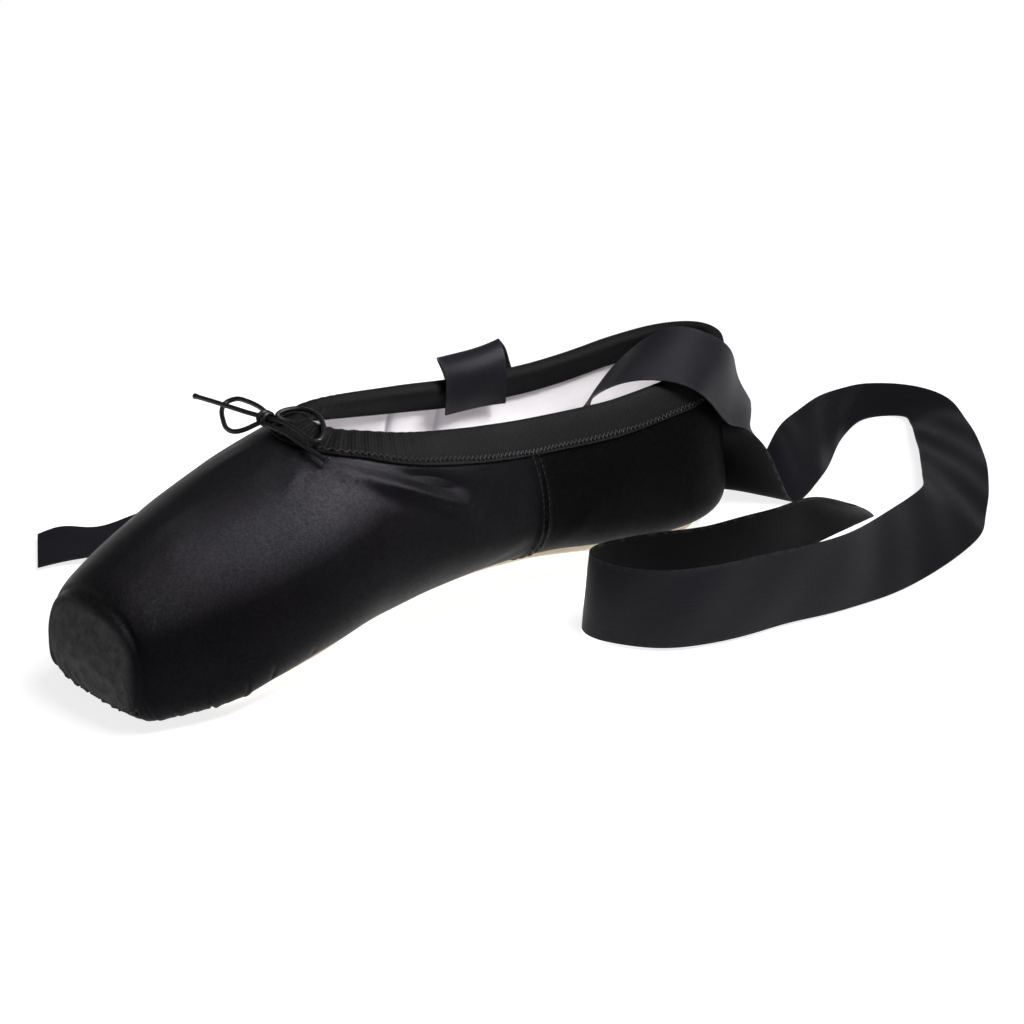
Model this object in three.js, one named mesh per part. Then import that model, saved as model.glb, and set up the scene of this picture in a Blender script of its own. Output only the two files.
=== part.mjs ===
// Pointe shoe of black satin, with binding, drawstring bow and two loose ribbons.
// Millimetres. The toe points to -Y, the heel to +Y, +Z is up and +X is the side seen in front.
// The origin is on the floor, under the middle of the shoe.
import * as THREE from 'three';

// Driving dimensions
const LENGTH = 240;
const BALL_WIDTH = 74;
const HEEL_WIDTH = 53;
const INSTEP_HEIGHT = 70;
const HEEL_HEIGHT = 60;
const THROAT_AT = 84;
const WALL = 2.0;
const CLEARANCE = 0.3;
const TOE_ROUND = 18;
const HEEL_ROUND = 30;
const SOLE_THICKNESS = 2.6;
const SOLE_WIDTH = 46;
const SOLE_START = 22;
const SOLE_END_MARGIN = 9;
const LASTING_OPENING = 24;
const INSOLE_THICKNESS = 1.6;
const TAPE_DEPTH = 10;
const TAPE_THICKNESS = 0.8;
const TAPE_CLEARANCE = 0.5;
const SEAM_WIDTH = 4;
const SEAM_RISE = 0.5;
const SIDE_SEAM_AT = 149;
const RIBBON_WIDTH = 24;
const RIBBON_THICKNESS = 0.8;
const CORD_DIAMETER = 1.5;
const KNOT_LENGTH = 5.4;

const TOE_Y = -LENGTH / 2;
const HEEL_Y = LENGTH / 2;

// Tables of the last. along is the share of the length from the toe.
// ball and heel are shares of half the ball width and half the heel width, and they add up.
// under, widest and crown are shares of the instep height. square is the power of the lower corner.
const SECTIONS = [
  { along: 0.00, ball: 0.56, heel: 0.00, under: 0.020, widest: 0.25, crown: 0.50, square: 2.8 },
  { along: 0.05, ball: 0.70, heel: 0.00, under: 0.016, widest: 0.27, crown: 0.60, square: 4.2 },
  { along: 0.12, ball: 0.84, heel: 0.00, under: 0.024, widest: 0.30, crown: 0.71, square: 4.2 },
  { along: 0.20, ball: 0.955, heel: 0.00, under: 0.041, widest: 0.36, crown: 0.81, square: 2.8 },
  { along: 0.29, ball: 1.00, heel: 0.00, under: 0.070, widest: 0.43, crown: 0.91, square: 2.2 },
  { along: 0.37, ball: 0.82, heel: 0.20, under: 0.110, widest: 0.46, crown: 0.985, square: 2.0 },
  { along: 0.46, ball: 0.535, heel: 0.50, under: 0.145, widest: 0.45, crown: 1.01, square: 2.0 },
  { along: 0.56, ball: 0.28, heel: 0.75, under: 0.160, widest: 0.42, crown: 1.01, square: 2.1 },
  { along: 0.66, ball: 0.10, heel: 0.90, under: 0.140, widest: 0.37, crown: 1.00, square: 2.3 },
  { along: 0.76, ball: 0.02, heel: 0.99, under: 0.090, widest: 0.31, crown: 1.00, square: 2.5 },
  { along: 0.86, ball: 0.00, heel: 1.00, under: 0.040, widest: 0.26, crown: 1.02, square: 2.6 },
  { along: 1.00, ball: 0.00, heel: 1.00, under: 0.038, widest: 0.25, crown: 1.05, square: 2.6 },
];
// Collar height behind the throat: shares of the crown at the throat and of the heel height.
const COLLAR = [
  { behind: 0.00, throat: 1.00, heel: 0.000 },
  { behind: 0.05, throat: 0.94, heel: 0.055 },
  { behind: 0.11, throat: 0.86, heel: 0.120 },
  { behind: 0.20, throat: 0.72, heel: 0.240 },
  { behind: 0.31, throat: 0.58, heel: 0.355 },
  { behind: 0.48, throat: 0.38, heel: 0.525 },
  { behind: 0.66, throat: 0.18, heel: 0.720 },
  { behind: 0.85, throat: 0.05, heel: 0.890 },
  { behind: 1.00, throat: 0.00, heel: 1.000 },
];
// Set back of the toe face and of the heel back: height as a share of the instep height,
// back as a share of the rounding at that end.
const TOE_FACE = [
  { height: -0.05, back: 0.70 }, { height: 0.00, back: 0.54 }, { height: 0.08, back: 0.28 },
  { height: 0.18, back: 0.09 }, { height: 0.28, back: 0.01 }, { height: 0.45, back: 0.03 },
  { height: 0.65, back: 0.12 },
];
const HEEL_BACK = [
  { height: -0.05, back: 0.60 }, { height: 0.00, back: 0.40 }, { height: 0.06, back: 0.20 },
  { height: 0.15, back: 0.07 }, { height: 0.28, back: 0.01 }, { height: 0.45, back: 0.04 },
  { height: 0.65, back: 0.03 }, { height: 0.86, back: -0.05 }, { height: 1.10, back: -0.12 },
];
// Half width of the outsole as a share of half the sole width.
const SOLE_OUTLINE = [
  { along: 0.00, half: 0.72 }, { along: 0.10, half: 0.88 }, { along: 0.22, half: 0.86 },
  { along: 0.34, half: 0.66 }, { along: 0.48, half: 0.52 }, { along: 0.62, half: 0.50 },
  { along: 0.76, half: 0.62 }, { along: 0.88, half: 0.70 }, { along: 1.00, half: 0.66 },
];
const UPPER_POWER = 2.2;
const WIDTH_POWER = 2.1;
const HEEL_POWER = 2.2;
const TOE_POWER = 6;
const POWER_BLEND = 8;

// Materials
const satin = new THREE.MeshStandardMaterial({ color: '#17151a', roughness: 0.42, metalness: 0 });
const tape = new THREE.MeshStandardMaterial({ color: '#141316', roughness: 0.8, metalness: 0 });
const leather = new THREE.MeshStandardMaterial({ color: '#e6dcc6', roughness: 0.75, metalness: 0 });
const canvas = new THREE.MeshStandardMaterial({ color: '#dcd6d8', roughness: 0.9, metalness: 0 });
const ribbonSatin = new THREE.MeshStandardMaterial({ color: '#2a292d', roughness: 0.5, metalness: 0 });
const cordCotton = new THREE.MeshStandardMaterial({ color: '#19181b', roughness: 0.7, metalness: 0 });

// A smooth curve through the rows of a table, without overshoot between them.
function tableCurve(rows, keyColumn, valueOf) {
  const xs = rows.map((row) => row[keyColumn]);
  const ys = rows.map(valueOf);
  const end = xs.length - 1;
  const gaps = xs.slice(1).map((x, i) => x - xs[i]);
  const rises = gaps.map((gap, i) => (ys[i + 1] - ys[i]) / gap);
  const slopes = ys.map((_, i) => {
    if (i === 0) return rises[0];
    if (i === end) return rises[end - 1];
    if (rises[i - 1] * rises[i] <= 0) return 0;
    const before = 2 * gaps[i] + gaps[i - 1];
    const after = gaps[i] + 2 * gaps[i - 1];
    return (before + after) / (before / rises[i - 1] + after / rises[i]);
  });
  return (x) => {
    if (x <= xs[0]) return ys[0] + slopes[0] * (x - xs[0]);
    if (x >= xs[end]) return ys[end] + slopes[end] * (x - xs[end]);
    let i = 0;
    while (x > xs[i + 1]) i += 1;
    const t = (x - xs[i]) / gaps[i];
    const flat = ys[i] * (1 + 2 * t) * (1 - t) ** 2 + ys[i + 1] * t * t * (3 - 2 * t);
    const lean = slopes[i] * t * (1 - t) ** 2 + slopes[i + 1] * t * t * (t - 1);
    return flat + lean * gaps[i];
  };
}

const halfWidth = tableCurve(SECTIONS, 'along',
  (row) => (row.ball * BALL_WIDTH + row.heel * HEEL_WIDTH) / 2);
const underside = tableCurve(SECTIONS, 'along', (row) => row.under * INSTEP_HEIGHT);
const widestHeight = tableCurve(SECTIONS, 'along', (row) => row.widest * INSTEP_HEIGHT);
const crownHeight = tableCurve(SECTIONS, 'along', (row) => row.crown * INSTEP_HEIGHT);
const lowerPower = tableCurve(SECTIONS, 'along', (row) => row.square);
const toeFace = tableCurve(TOE_FACE, 'height', (row) => row.back * TOE_ROUND);
const heelBack = tableCurve(HEEL_BACK, 'height', (row) => -row.back * HEEL_ROUND);
const throatCrown = crownHeight(THROAT_AT / LENGTH);
const collarCurve = tableCurve(COLLAR, 'behind',
  (row) => row.throat * throatCrown + row.heel * HEEL_HEIGHT);
const soleOutline = tableCurve(SOLE_OUTLINE, 'along', (row) => (row.half * SOLE_WIDTH) / 2);

const shareAt = (y) => (y - TOE_Y) / LENGTH;
const collarHeight = (y) => collarCurve((y - TOE_Y - THROAT_AT) / (LENGTH - THROAT_AT));

// The last: below 0 inside, above 0 outside, 0 on the outer face of the upper.
const TOE_BLEND_Y = TOE_Y + TOE_ROUND;
const HEEL_BLEND_Y = HEEL_Y - HEEL_ROUND;
function last(x, y, z) {
  const along = THREE.MathUtils.clamp(shareAt(y), -0.03, 1.03);
  const widest = widestHeight(along);
  const above = z > widest;
  const reach = above ? crownHeight(along) - widest : widest - underside(along);
  const rise = Math.min(Math.abs(z - widest) / reach, 1.5);
  const risePower = above ? UPPER_POWER : lowerPower(along);
  const turned = THREE.MathUtils.smoothstep(z, widest - POWER_BLEND, widest + POWER_BLEND);
  const sidePower = THREE.MathUtils.lerp(lowerPower(along), WIDTH_POWER, turned);
  const side = (Math.abs(x) / halfWidth(along)) ** sidePower;
  if (y > HEEL_BLEND_Y) {
    if (rise >= 1) return 1;
    const back = HEEL_Y + heelBack(z / INSTEP_HEIGHT) - HEEL_BLEND_Y;
    return side / (1 - rise ** risePower) + ((y - HEEL_BLEND_Y) / back) ** HEEL_POWER - 1;
  }
  const front = TOE_BLEND_Y - TOE_Y - toeFace(THREE.MathUtils.clamp(z / INSTEP_HEIGHT, -0.05, 0.7));
  const toe = Math.max(0, (TOE_BLEND_Y - y) / front) ** TOE_POWER;
  return side + rise ** risePower + toe - 1;
}

// The outer face of the last met by a ray from inside it.
const FAR = 180;
const HALVINGS = 40;
function meet(from, direction) {
  let near = 0;
  let far = FAR;
  for (let i = 0; i < HALVINGS; i += 1) {
    const middle = (near + far) / 2;
    const at = from.clone().addScaledVector(direction, middle);
    if (last(at.x, at.y, at.z) > 0) far = middle;
    else near = middle;
  }
  return from.clone().addScaledVector(direction, near);
}

// The outward normal of the last.
const PROBE = 0.05;
function normalAt(p) {
  const dx = last(p.x + PROBE, p.y, p.z) - last(p.x - PROBE, p.y, p.z);
  const dy = last(p.x, p.y + PROBE, p.z) - last(p.x, p.y - PROBE, p.z);
  const dz = last(p.x, p.y, p.z + PROBE) - last(p.x, p.y, p.z - PROBE);
  return new THREE.Vector3(p.x === 0 ? 0 : dx, dy, dz).normalize();
}

const offset = (p, normal, distance) => p.clone().addScaledVector(normal, distance);

// Ribs: half planes that stand on the middle line, fanned round the toe and the heel.
// root is where a rib stands along Y, turn its angle from +X.
const TOE_RIBS = 11;
const SIDE_RIBS_FRONT = 4;
const SIDE_RIBS_REAR = 17;
const HEEL_RIBS = 9;
const FAN_BEHIND_SOLE = 16;
const FAN_DEPTH = 0.4;
const CROWDING = 1.6;
const FAN_Y = TOE_Y + SOLE_START + FAN_BEHIND_SOLE;
const THROAT_Y = TOE_Y + THROAT_AT;
const SIDE_SEAM_Y = TOE_Y + SIDE_SEAM_AT;
const SEAM_EDGE = 0.8;
const SEAM_CLEAR = 2;

function ribPlan() {
  const ribs = [];
  const sideStart = FAN_Y + FAN_DEPTH * (THROAT_Y - FAN_Y);
  for (let i = 0; i < TOE_RIBS; i += 1) {
    const t = i / TOE_RIBS;
    ribs.push({ root: FAN_Y + (sideStart - FAN_Y) * t ** CROWDING, turn: -(1 - t) * Math.PI / 2 });
  }
  for (let i = 0; i < SIDE_RIBS_FRONT; i += 1) {
    ribs.push({ root: sideStart + (THROAT_Y - sideStart) * (i / SIDE_RIBS_FRONT), turn: 0 });
  }
  const half = SEAM_WIDTH / 2;
  const seam = [-half - SEAM_EDGE, -half, half, half + SEAM_EDGE].map((d) => SIDE_SEAM_Y + d);
  const clear = (y) => y < seam[0] - SEAM_CLEAR || y > seam[3] + SEAM_CLEAR;
  const sides = [];
  for (let i = 0; i < SIDE_RIBS_REAR; i += 1) {
    const t = i / SIDE_RIBS_REAR;
    const y = THROAT_Y + (HEEL_BLEND_Y - THROAT_Y) * t ** CROWDING;
    if (clear(y)) sides.push({ root: y, turn: 0, seam: false });
  }
  seam.forEach((y, i) => sides.push({ root: y, turn: 0, seam: i === 1 || i === 2 }));
  sides.sort((a, b) => a.root - b.root);
  ribs.push(...sides);
  for (let i = 0; i <= HEEL_RIBS; i += 1) {
    ribs.push({ root: HEEL_BLEND_Y, turn: (i / HEEL_RIBS) * Math.PI / 2 });
  }
  return ribs;
}

// The angle range of a rib: up from the edge of the opening below, to the crown or the collar.
function ribPoint(rib, climb) {
  const from = new THREE.Vector3(0, rib.root, widestHeight(shareAt(rib.root)));
  const flat = Math.cos(climb);
  const direction = new THREE.Vector3(
    flat * Math.cos(rib.turn), flat * Math.sin(rib.turn), Math.sin(climb));
  return meet(from, direction);
}

function climbWhere(rib, low, high, test) {
  let a = low;
  let b = high;
  for (let i = 0; i < HALVINGS; i += 1) {
    const middle = (a + b) / 2;
    if (test(ribPoint(rib, middle))) b = middle;
    else a = middle;
  }
  return (a + b) / 2;
}

const soleFront = TOE_Y + SOLE_START;
const soleBack = HEEL_Y - SOLE_END_MARGIN;
const soleShare = (y) => (y - soleFront) / (soleBack - soleFront);
const openingHalf = (y) => (LASTING_OPENING / SOLE_WIDTH) * soleOutline(soleShare(y));

function ribRange(rib) {
  const quarter = Math.PI / 2;
  const reach = openingHalf(rib.root);
  const start = climbWhere(rib, -quarter, -0.2,
    (p) => Math.hypot(p.x, p.y - rib.root) > reach);
  if (rib.turn < 0 || rib.root <= THROAT_Y) return [start, quarter];
  const stop = climbWhere(rib, 0, quarter, (p) => p.z > collarHeight(p.y));
  return [start, stop];
}

// Points up a rib, closer together where it turns.
const RIB_STEPS = 15;
const FINE_STEPS = 90;
const TURN_LENGTH = 16;
function ribLine(rib) {
  const [start, stop] = ribRange(rib);
  const fine = [];
  for (let i = 0; i <= FINE_STEPS; i += 1) {
    fine.push(ribPoint(rib, start + (stop - start) * (i / FINE_STEPS)));
  }
  const middleRib = Math.abs(Math.cos(rib.turn)) < 1e-9;
  if (middleRib) fine.forEach((p) => p.setX(0));
  if (stop === Math.PI / 2) fine[FINE_STEPS].setX(0);
  const measure = [0];
  for (let i = 1; i <= FINE_STEPS; i += 1) {
    const step = fine[i].clone().sub(fine[i - 1]);
    const next = fine[Math.min(i + 1, FINE_STEPS)].clone().sub(fine[i]);
    const bend = next.lengthSq() > 0 ? step.angleTo(next) : 0;
    measure.push(measure[i - 1] + step.length() + TURN_LENGTH * bend);
  }
  const points = [];
  let j = 0;
  for (let i = 0; i <= RIB_STEPS; i += 1) {
    const want = measure[FINE_STEPS] * (i / RIB_STEPS);
    while (j < FINE_STEPS - 1 && measure[j + 1] < want) j += 1;
    const t = (want - measure[j]) / (measure[j + 1] - measure[j]);
    points.push(fine[j].clone().lerp(fine[j + 1], THREE.MathUtils.clamp(t, 0, 1)));
  }
  return points;
}

// A closed solid from faces given as lists of corners.
class Shell {
  constructor() {
    this.positions = [];
    this.index = [];
    this.known = new Map();
  }

  corner(p) {
    const key = [p.x, p.y, p.z].map((v) => Math.round(v * 1e4)).join(',');
    if (!this.known.has(key)) {
      this.known.set(key, this.positions.length / 3);
      this.positions.push(p.x, p.y, p.z);
    }
    return this.known.get(key);
  }

  triangle(a, b, c) {
    const [i, j, k] = [a, b, c].map((p) => this.corner(p));
    if (i !== j && j !== k && k !== i) this.index.push(i, j, k);
  }

  quad(a, b, c, d) {
    if (a.distanceToSquared(c) <= b.distanceToSquared(d)) {
      this.triangle(a, b, c);
      this.triangle(a, c, d);
    } else {
      this.triangle(a, b, d);
      this.triangle(b, c, d);
    }
  }

  geometry() {
    const geometry = new THREE.BufferGeometry();
    geometry.setAttribute('position', new THREE.Float32BufferAttribute(this.positions, 3));
    geometry.setIndex(this.index);
    return geometry;
  }
}

// A solid through rings of points. Each ring runs counterclockwise seen from the ring after it.
function loft(rings, closed = false) {
  const shell = new Shell();
  const count = rings[0].length;
  const spans = closed ? rings.length : rings.length - 1;
  for (let i = 0; i < spans; i += 1) {
    const a = rings[i];
    const b = rings[(i + 1) % rings.length];
    for (let j = 0; j < count; j += 1) {
      const k = (j + 1) % count;
      shell.quad(a[j], a[k], b[k], b[j]);
    }
  }
  if (!closed) {
    const first = rings[0];
    const end = rings[rings.length - 1];
    const half = count / 2;
    for (let j = 0; j < half - 1; j += 1) {
      const k = count - 1 - j;
      shell.quad(first[j], first[k], first[k - 1], first[j + 1]);
      shell.quad(end[j], end[j + 1], end[k - 1], end[k]);
    }
  }
  return shell.geometry();
}

const mirrored = (p) => new THREE.Vector3(-p.x, p.y, p.z);

const plan = ribPlan();
const nearRibs = plan.map((rib) => ribLine(rib));
const heelRib = plan.length - 1;
const ringCount = 2 * heelRib;
const throatRib = plan.findIndex((rib) => rib.turn >= 0 && rib.root > THROAT_Y) - 1;

// Upper: outer and inner face, joined by the collar's edge and the lasted edge below.
const HEEL_SEAM_RIB = heelRib - 1;
const SEAM_STOP = TAPE_DEPTH + 2;
const SEAM_FOOT = SOLE_THICKNESS + 3;
function seamRise(index, p, top) {
  const onSeam = plan[index].seam || index >= HEEL_SEAM_RIB;
  const low = p.z < underside(shareAt(p.y)) + SEAM_FOOT;
  return onSeam && !low && p.distanceTo(top) > SEAM_STOP ? SEAM_RISE : 0;
}

function upperFaces() {
  const outer = [];
  const inner = [];
  nearRibs.forEach((line, index) => {
    const top = line[line.length - 1];
    outer.push(line.map((p) => offset(p, normalAt(p), seamRise(index, p, top))));
    inner.push(line.map((p) => offset(p, normalAt(p), -WALL)));
  });
  const whole = (near) => {
    const far = near.slice(1, heelRib).reverse().map((line) => line.map(mirrored));
    return [...near, ...far];
  };
  return { outer: whole(outer), inner: whole(inner) };
}

function upperGeometry() {
  const { outer, inner } = upperFaces();
  const shell = new Shell();
  for (let i = 0; i < ringCount; i += 1) {
    const next = (i + 1) % ringCount;
    const [a, b] = [outer[i], outer[next]];
    const [c, d] = [inner[i], inner[next]];
    for (let j = 0; j < RIB_STEPS; j += 1) {
      shell.quad(a[j], b[j], b[j + 1], a[j + 1]);
      shell.quad(c[j], c[j + 1], d[j + 1], d[j]);
    }
    shell.quad(a[0], c[0], d[0], b[0]);
    const nearSide = i >= throatRib && i < heelRib;
    const farSide = i >= heelRib && i < ringCount - throatRib;
    if (nearSide || farSide) {
      shell.quad(a[RIB_STEPS], b[RIB_STEPS], d[RIB_STEPS], c[RIB_STEPS]);
    }
  }
  return shell.geometry();
}

// Binding: a tape folded over the collar's edge. Each section stands square to the edge.
const TAPE_SHARES = [1, 0.5, 0];
const TAPE_BEVEL = 0.9;
const TAPE_STEP = 1.25;
function downFrom(rim, along, distance) {
  const steps = Math.max(1, Math.round(distance / TAPE_STEP));
  const p = rim.clone();
  for (let i = 0; i < steps; i += 1) {
    const normal = normalAt(p);
    const down = along.clone().cross(normal).normalize();
    p.addScaledVector(down, distance / steps);
    for (let k = 0; k < 3; k += 1) {
      const value = last(p.x, p.y, p.z);
      const slope = new THREE.Vector3(
        last(p.x + PROBE, p.y, p.z) - value,
        last(p.x, p.y + PROBE, p.z) - value,
        last(p.x, p.y, p.z + PROBE) - value).divideScalar(PROBE);
      p.addScaledVector(slope, -value / slope.lengthSq());
    }
  }
  return p;
}

function collarRims() {
  const near = nearRibs.slice(throatRib).map((line) => line[RIB_STEPS]);
  const far = near.slice(1, -1).reverse().map(mirrored);
  return [...near, ...far];
}

function bindingGeometry() {
  const rims = collarRims();
  const innerFace = -WALL - TAPE_CLEARANCE;
  const rings = rims.map((rim, i) => {
    const before = rims[(i + rims.length - 1) % rims.length];
    const after = rims[(i + 1) % rims.length];
    const along = after.clone().sub(before).normalize();
    const normal = normalAt(rim);
    const up = normal.clone().cross(along).normalize();
    const legs = TAPE_SHARES.map((share) => {
      const p = downFrom(rim, along, share * TAPE_DEPTH);
      return { p, n: normalAt(p) };
    });
    const lift = (across, height) => offset(offset(rim, normal, across), up, height);
    const outside = TAPE_THICKNESS + TAPE_CLEARANCE;
    return [
      ...legs.map(({ p, n }) => offset(p, n, outside)),
      lift(outside - TAPE_BEVEL, outside),
      lift(innerFace - TAPE_THICKNESS + TAPE_BEVEL, outside),
      ...legs.map(({ p, n }) => offset(p, n, innerFace - TAPE_THICKNESS)).reverse(),
      ...legs.map(({ p, n }) => offset(p, n, innerFace)),
      lift(innerFace, TAPE_CLEARANCE),
      lift(TAPE_CLEARANCE, TAPE_CLEARANCE),
      ...legs.map(({ p, n }) => offset(p, n, TAPE_CLEARANCE)).reverse(),
    ].reverse();
  });
  return loft(rings, true);
}

// Outsole: follows the upper from below, flat on the floor at the forefoot and the heel.
const SOLE_STATIONS = 34;
const SOLE_ACROSS = [-1, -0.94, -0.75, -0.38, 0, 0.38, 0.75, 0.94, 1];
const SOLE_TIP_ROUND = 15;
const SOLE_EDGE = 0.9;
const SOLE_EDGE_ON_FLOOR = 0.36;
const SOLE_THINNEST = 0.5;
const SOLE_TIP_HALF = 1.2;
const STATION_MARGIN = 0.012;
const STATION_EASE = 0.55;

function stationAt(i) {
  const t = i / SOLE_STATIONS;
  const held = THREE.MathUtils.clamp(t, STATION_MARGIN, 1 - STATION_MARGIN);
  const eased = 0.5 - 0.5 * Math.cos(Math.PI * held);
  return soleFront + (soleBack - soleFront) * THREE.MathUtils.lerp(t, eased, STATION_EASE);
}

function soleHalfAt(y, inset = 0) {
  const end = Math.min(y - soleFront, soleBack - y) - inset;
  const short = THREE.MathUtils.clamp(1 - end / SOLE_TIP_ROUND, 0, 1);
  const half = soleOutline(soleShare(y)) - inset;
  return Math.max(half * Math.sqrt(1 - short * short), SOLE_TIP_HALF);
}

function underAt(x, y) {
  const from = new THREE.Vector3(x, y, widestHeight(shareAt(y)));
  return meet(from, new THREE.Vector3(0, 0, -1)).z;
}

function outsoleGeometry() {
  const rings = [];
  for (let i = 0; i <= SOLE_STATIONS; i += 1) {
    const y = stationAt(i);
    const half = soleHalfAt(y);
    const top = SOLE_ACROSS.map((share) => {
      const x = share * half;
      return new THREE.Vector3(x, y, underAt(x, y) - CLEARANCE);
    });
    const under = top.map((p, j) => {
      const rim = Math.abs(SOLE_ACROSS[j]) === 1;
      const lowest = rim ? SOLE_EDGE_ON_FLOOR : 0;
      const wanted = p.z - SOLE_THICKNESS + (rim ? SOLE_EDGE : 0);
      return new THREE.Vector3(p.x, y, Math.min(Math.max(lowest, wanted), p.z - SOLE_THINNEST));
    });
    rings.push([...top, ...under.reverse()]);
  }
  return loft(rings);
}

// Insole: lies in the upper, over the opening below.
const INSOLE_ACROSS = [-1, -0.6, 0, 0.6, 1];
const INSOLE_MARGIN = 3;
const INSOLE_STATIONS = 26;
const INSOLE_LIFT = 1.5 * CLEARANCE;
const INSOLE_END = 0.004;
function insoleGeometry() {
  const rings = [];
  for (let i = 0; i <= INSOLE_STATIONS; i += 1) {
    const front = soleFront + INSOLE_MARGIN;
    const back = soleBack - INSOLE_MARGIN;
    const t = THREE.MathUtils.clamp(i / INSOLE_STATIONS, INSOLE_END, 1 - INSOLE_END);
    const y = front + (back - front) * t;
    const half = soleHalfAt(y, INSOLE_MARGIN);
    const floor = INSOLE_ACROSS.map((share) => {
      const x = share * half;
      return new THREE.Vector3(x, y, underAt(x, y));
    });
    const seat = Math.max(...floor.map((p) => p.z)) + WALL + INSOLE_LIFT;
    const under = floor.map((p) => new THREE.Vector3(p.x, y, seat));
    const top = under.map((p) => new THREE.Vector3(p.x, y, seat + INSOLE_THICKNESS));
    rings.push([...top, ...under.reverse()]);
  }
  return loft(rings);
}

// Ribbons: rungs across the ribbon, chosen along its way. at is one edge, to points at the other.
const NEAR_RIBBON = [
  { at: [19.6, 37, 44], to: [20.3, 61, 39] },
  { at: [17.6, 47, 51], to: [5, 66, 41] },
  { at: [15.5, 57, 58], to: [0, 70, 47] },
  { at: [15.8, 66.3, 59.5], to: [-1, 83, 57.5] },
  { at: [18.9, 76, 60.4], to: [2, 92, 64.8] },
  { at: [23.9, 85, 58.6], to: [7.5, 99, 69] },
  { at: [27.1, 93, 54], to: [13.2, 108.2, 66.2] },
  { at: [26, 102, 46], to: [14.6, 118, 58.6] },
  { at: [24.5, 108.5, 39], to: [10.3, 124, 46] },
  { at: [22.5, 116.5, 35], to: [5.5, 136.5, 32.5] },
  { at: [20.4, 129, 22], to: [-3.5, 130, 19.5] },
  { at: [19.1, 142.2, 1], to: [-0.2, 128.1, 1] },
  { at: [19.5, 145, 1], to: [-3.8, 149.5, 5] },
  { at: [14, 158, 1], to: [-6, 159, 14] },
  { at: [4, 175, 1], to: [-16, 180, 13] },
  { at: [-5, 187, 1], to: [-24, 198, 11] },
  { at: [-12, 199, 1], to: [-29, 215, 8] },
  { at: [-16, 209, 1], to: [-31, 228, 6] },
  { at: [-16, 218, 1], to: [-26, 240, 4] },
  { at: [-9, 222, 2], to: [-12, 246, 2] },
  { at: [3, 214, 5], to: [7, 236, 1] },
  { at: [15, 203, 7], to: [30, 221, 1] },
  { at: [32, 188, 9], to: [50, 202, 1] },
  { at: [46, 174, 11], to: [65, 185, 1] },
  { at: [58, 163, 14], to: [76, 171, 1] },
  { at: [66, 148, 16], to: [82, 155, 1] },
  { at: [74, 130, 19], to: [87, 137, 1] },
  { at: [82, 112, 22], to: [90, 119, 1] },
  { at: [87, 95, 24], to: [89, 99, 1] },
  { at: [85, 80, 25], to: [86, 80, 1] },
  { at: [82, 65, 25], to: [84, 64, 1] },
  { at: [79, 52, 25], to: [81, 49, 1] },
  { at: [74, 41, 25], to: [75, 37, 1] },
  { at: [66, 33, 25], to: [66, 29, 1] },
  { at: [55, 28, 25], to: [55, 24, 1] },
  { at: [47, 29, 25], to: [46, 27, 1] },
  { at: [44, 36, 25], to: [43, 35, 1] },
  { at: [47, 50, 25], to: [45, 50, 1] },
  { at: [55, 68, 25], to: [52, 68, 1] },
  { at: [61.5, 92, 27], to: [59, 92, 3] },
  { at: [66, 109, 27], to: [63, 111, 3] },
  { at: [71.5, 122, 23.5], to: [66, 138, 5] },
];
const FAR_RIBBON = [
  { at: [-20.6, 27, 45], to: [-20.6, 52, 42] },
  { at: [-16.6, 27, 55], to: [-16.8, 52, 53] },
  { at: [-16.2, 27, 63], to: [-16.6, 51, 62] },
  { at: [-21.5, 29, 65.6], to: [-21.5, 52.5, 66.6] },
  { at: [-28, 34, 62.5], to: [-27, 57, 64] },
  { at: [-33, 40, 55], to: [-31, 64, 58.5] },
  { at: [-37, 46, 43], to: [-34, 69.5, 47] },
  { at: [-42, 56, 26], to: [-39, 80, 30] },
  { at: [-48, 56, 11], to: [-46, 80, 13] },
  { at: [-57, 51, 2], to: [-58, 75, 4] },
  { at: [-67, 41, 1], to: [-75, 63, 5] },
  { at: [-76, 27, 1], to: [-91, 45, 7] },
  { at: [-81, 7, 1], to: [-100, 20, 6] },
  { at: [-82, -16, 1], to: [-104, -8, 3] },
  { at: [-83, -37, 1.5], to: [-106, -29, 2] },
  { at: [-84.6, -55.4, 3], to: [-106.3, -45.4, 1] },
  { at: [-91, -65, 1], to: [-111.6, -53, 3] },
  { at: [-92.6, -74, 1], to: [-112.6, -61, 2] },
];

const RIBBON_BETWEEN = 2;
const RIBBON_LIFT = 0.05;
function ribbonGeometry(rungs) {
  const vector = (a) => new THREE.Vector3(...a);
  const edge = new THREE.CatmullRomCurve3(rungs.map((rung) => vector(rung.at)), false, 'centripetal');
  const other = new THREE.CatmullRomCurve3(rungs.map((rung) => vector(rung.to)), false, 'centripetal');
  const count = (rungs.length - 1) * RIBBON_BETWEEN;
  const lines = [];
  for (let i = 0; i <= count; i += 1) {
    const a = edge.getPoint(i / count);
    const b = other.getPoint(i / count);
    const middle = a.clone().add(b).multiplyScalar(0.5);
    const across = b.clone().sub(a).setLength(RIBBON_WIDTH / 2);
    lines.push([middle.clone().sub(across), middle, middle.clone().add(across)]);
  }
  const rings = lines.map((line, i) => {
    const before = lines[Math.max(i - 1, 0)][1];
    const after = lines[Math.min(i + 1, count)][1];
    const along = after.clone().sub(before);
    const across = line[2].clone().sub(line[0]);
    const normal = across.cross(along).setLength(RIBBON_THICKNESS / 2);
    const front = line.map((p) => p.clone().add(normal));
    const rear = line.map((p) => p.clone().sub(normal)).reverse();
    return [...front, ...rear].map((p) => p.setZ(Math.max(p.z, RIBBON_LIFT)));
  });
  return loft(rings);
}

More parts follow.
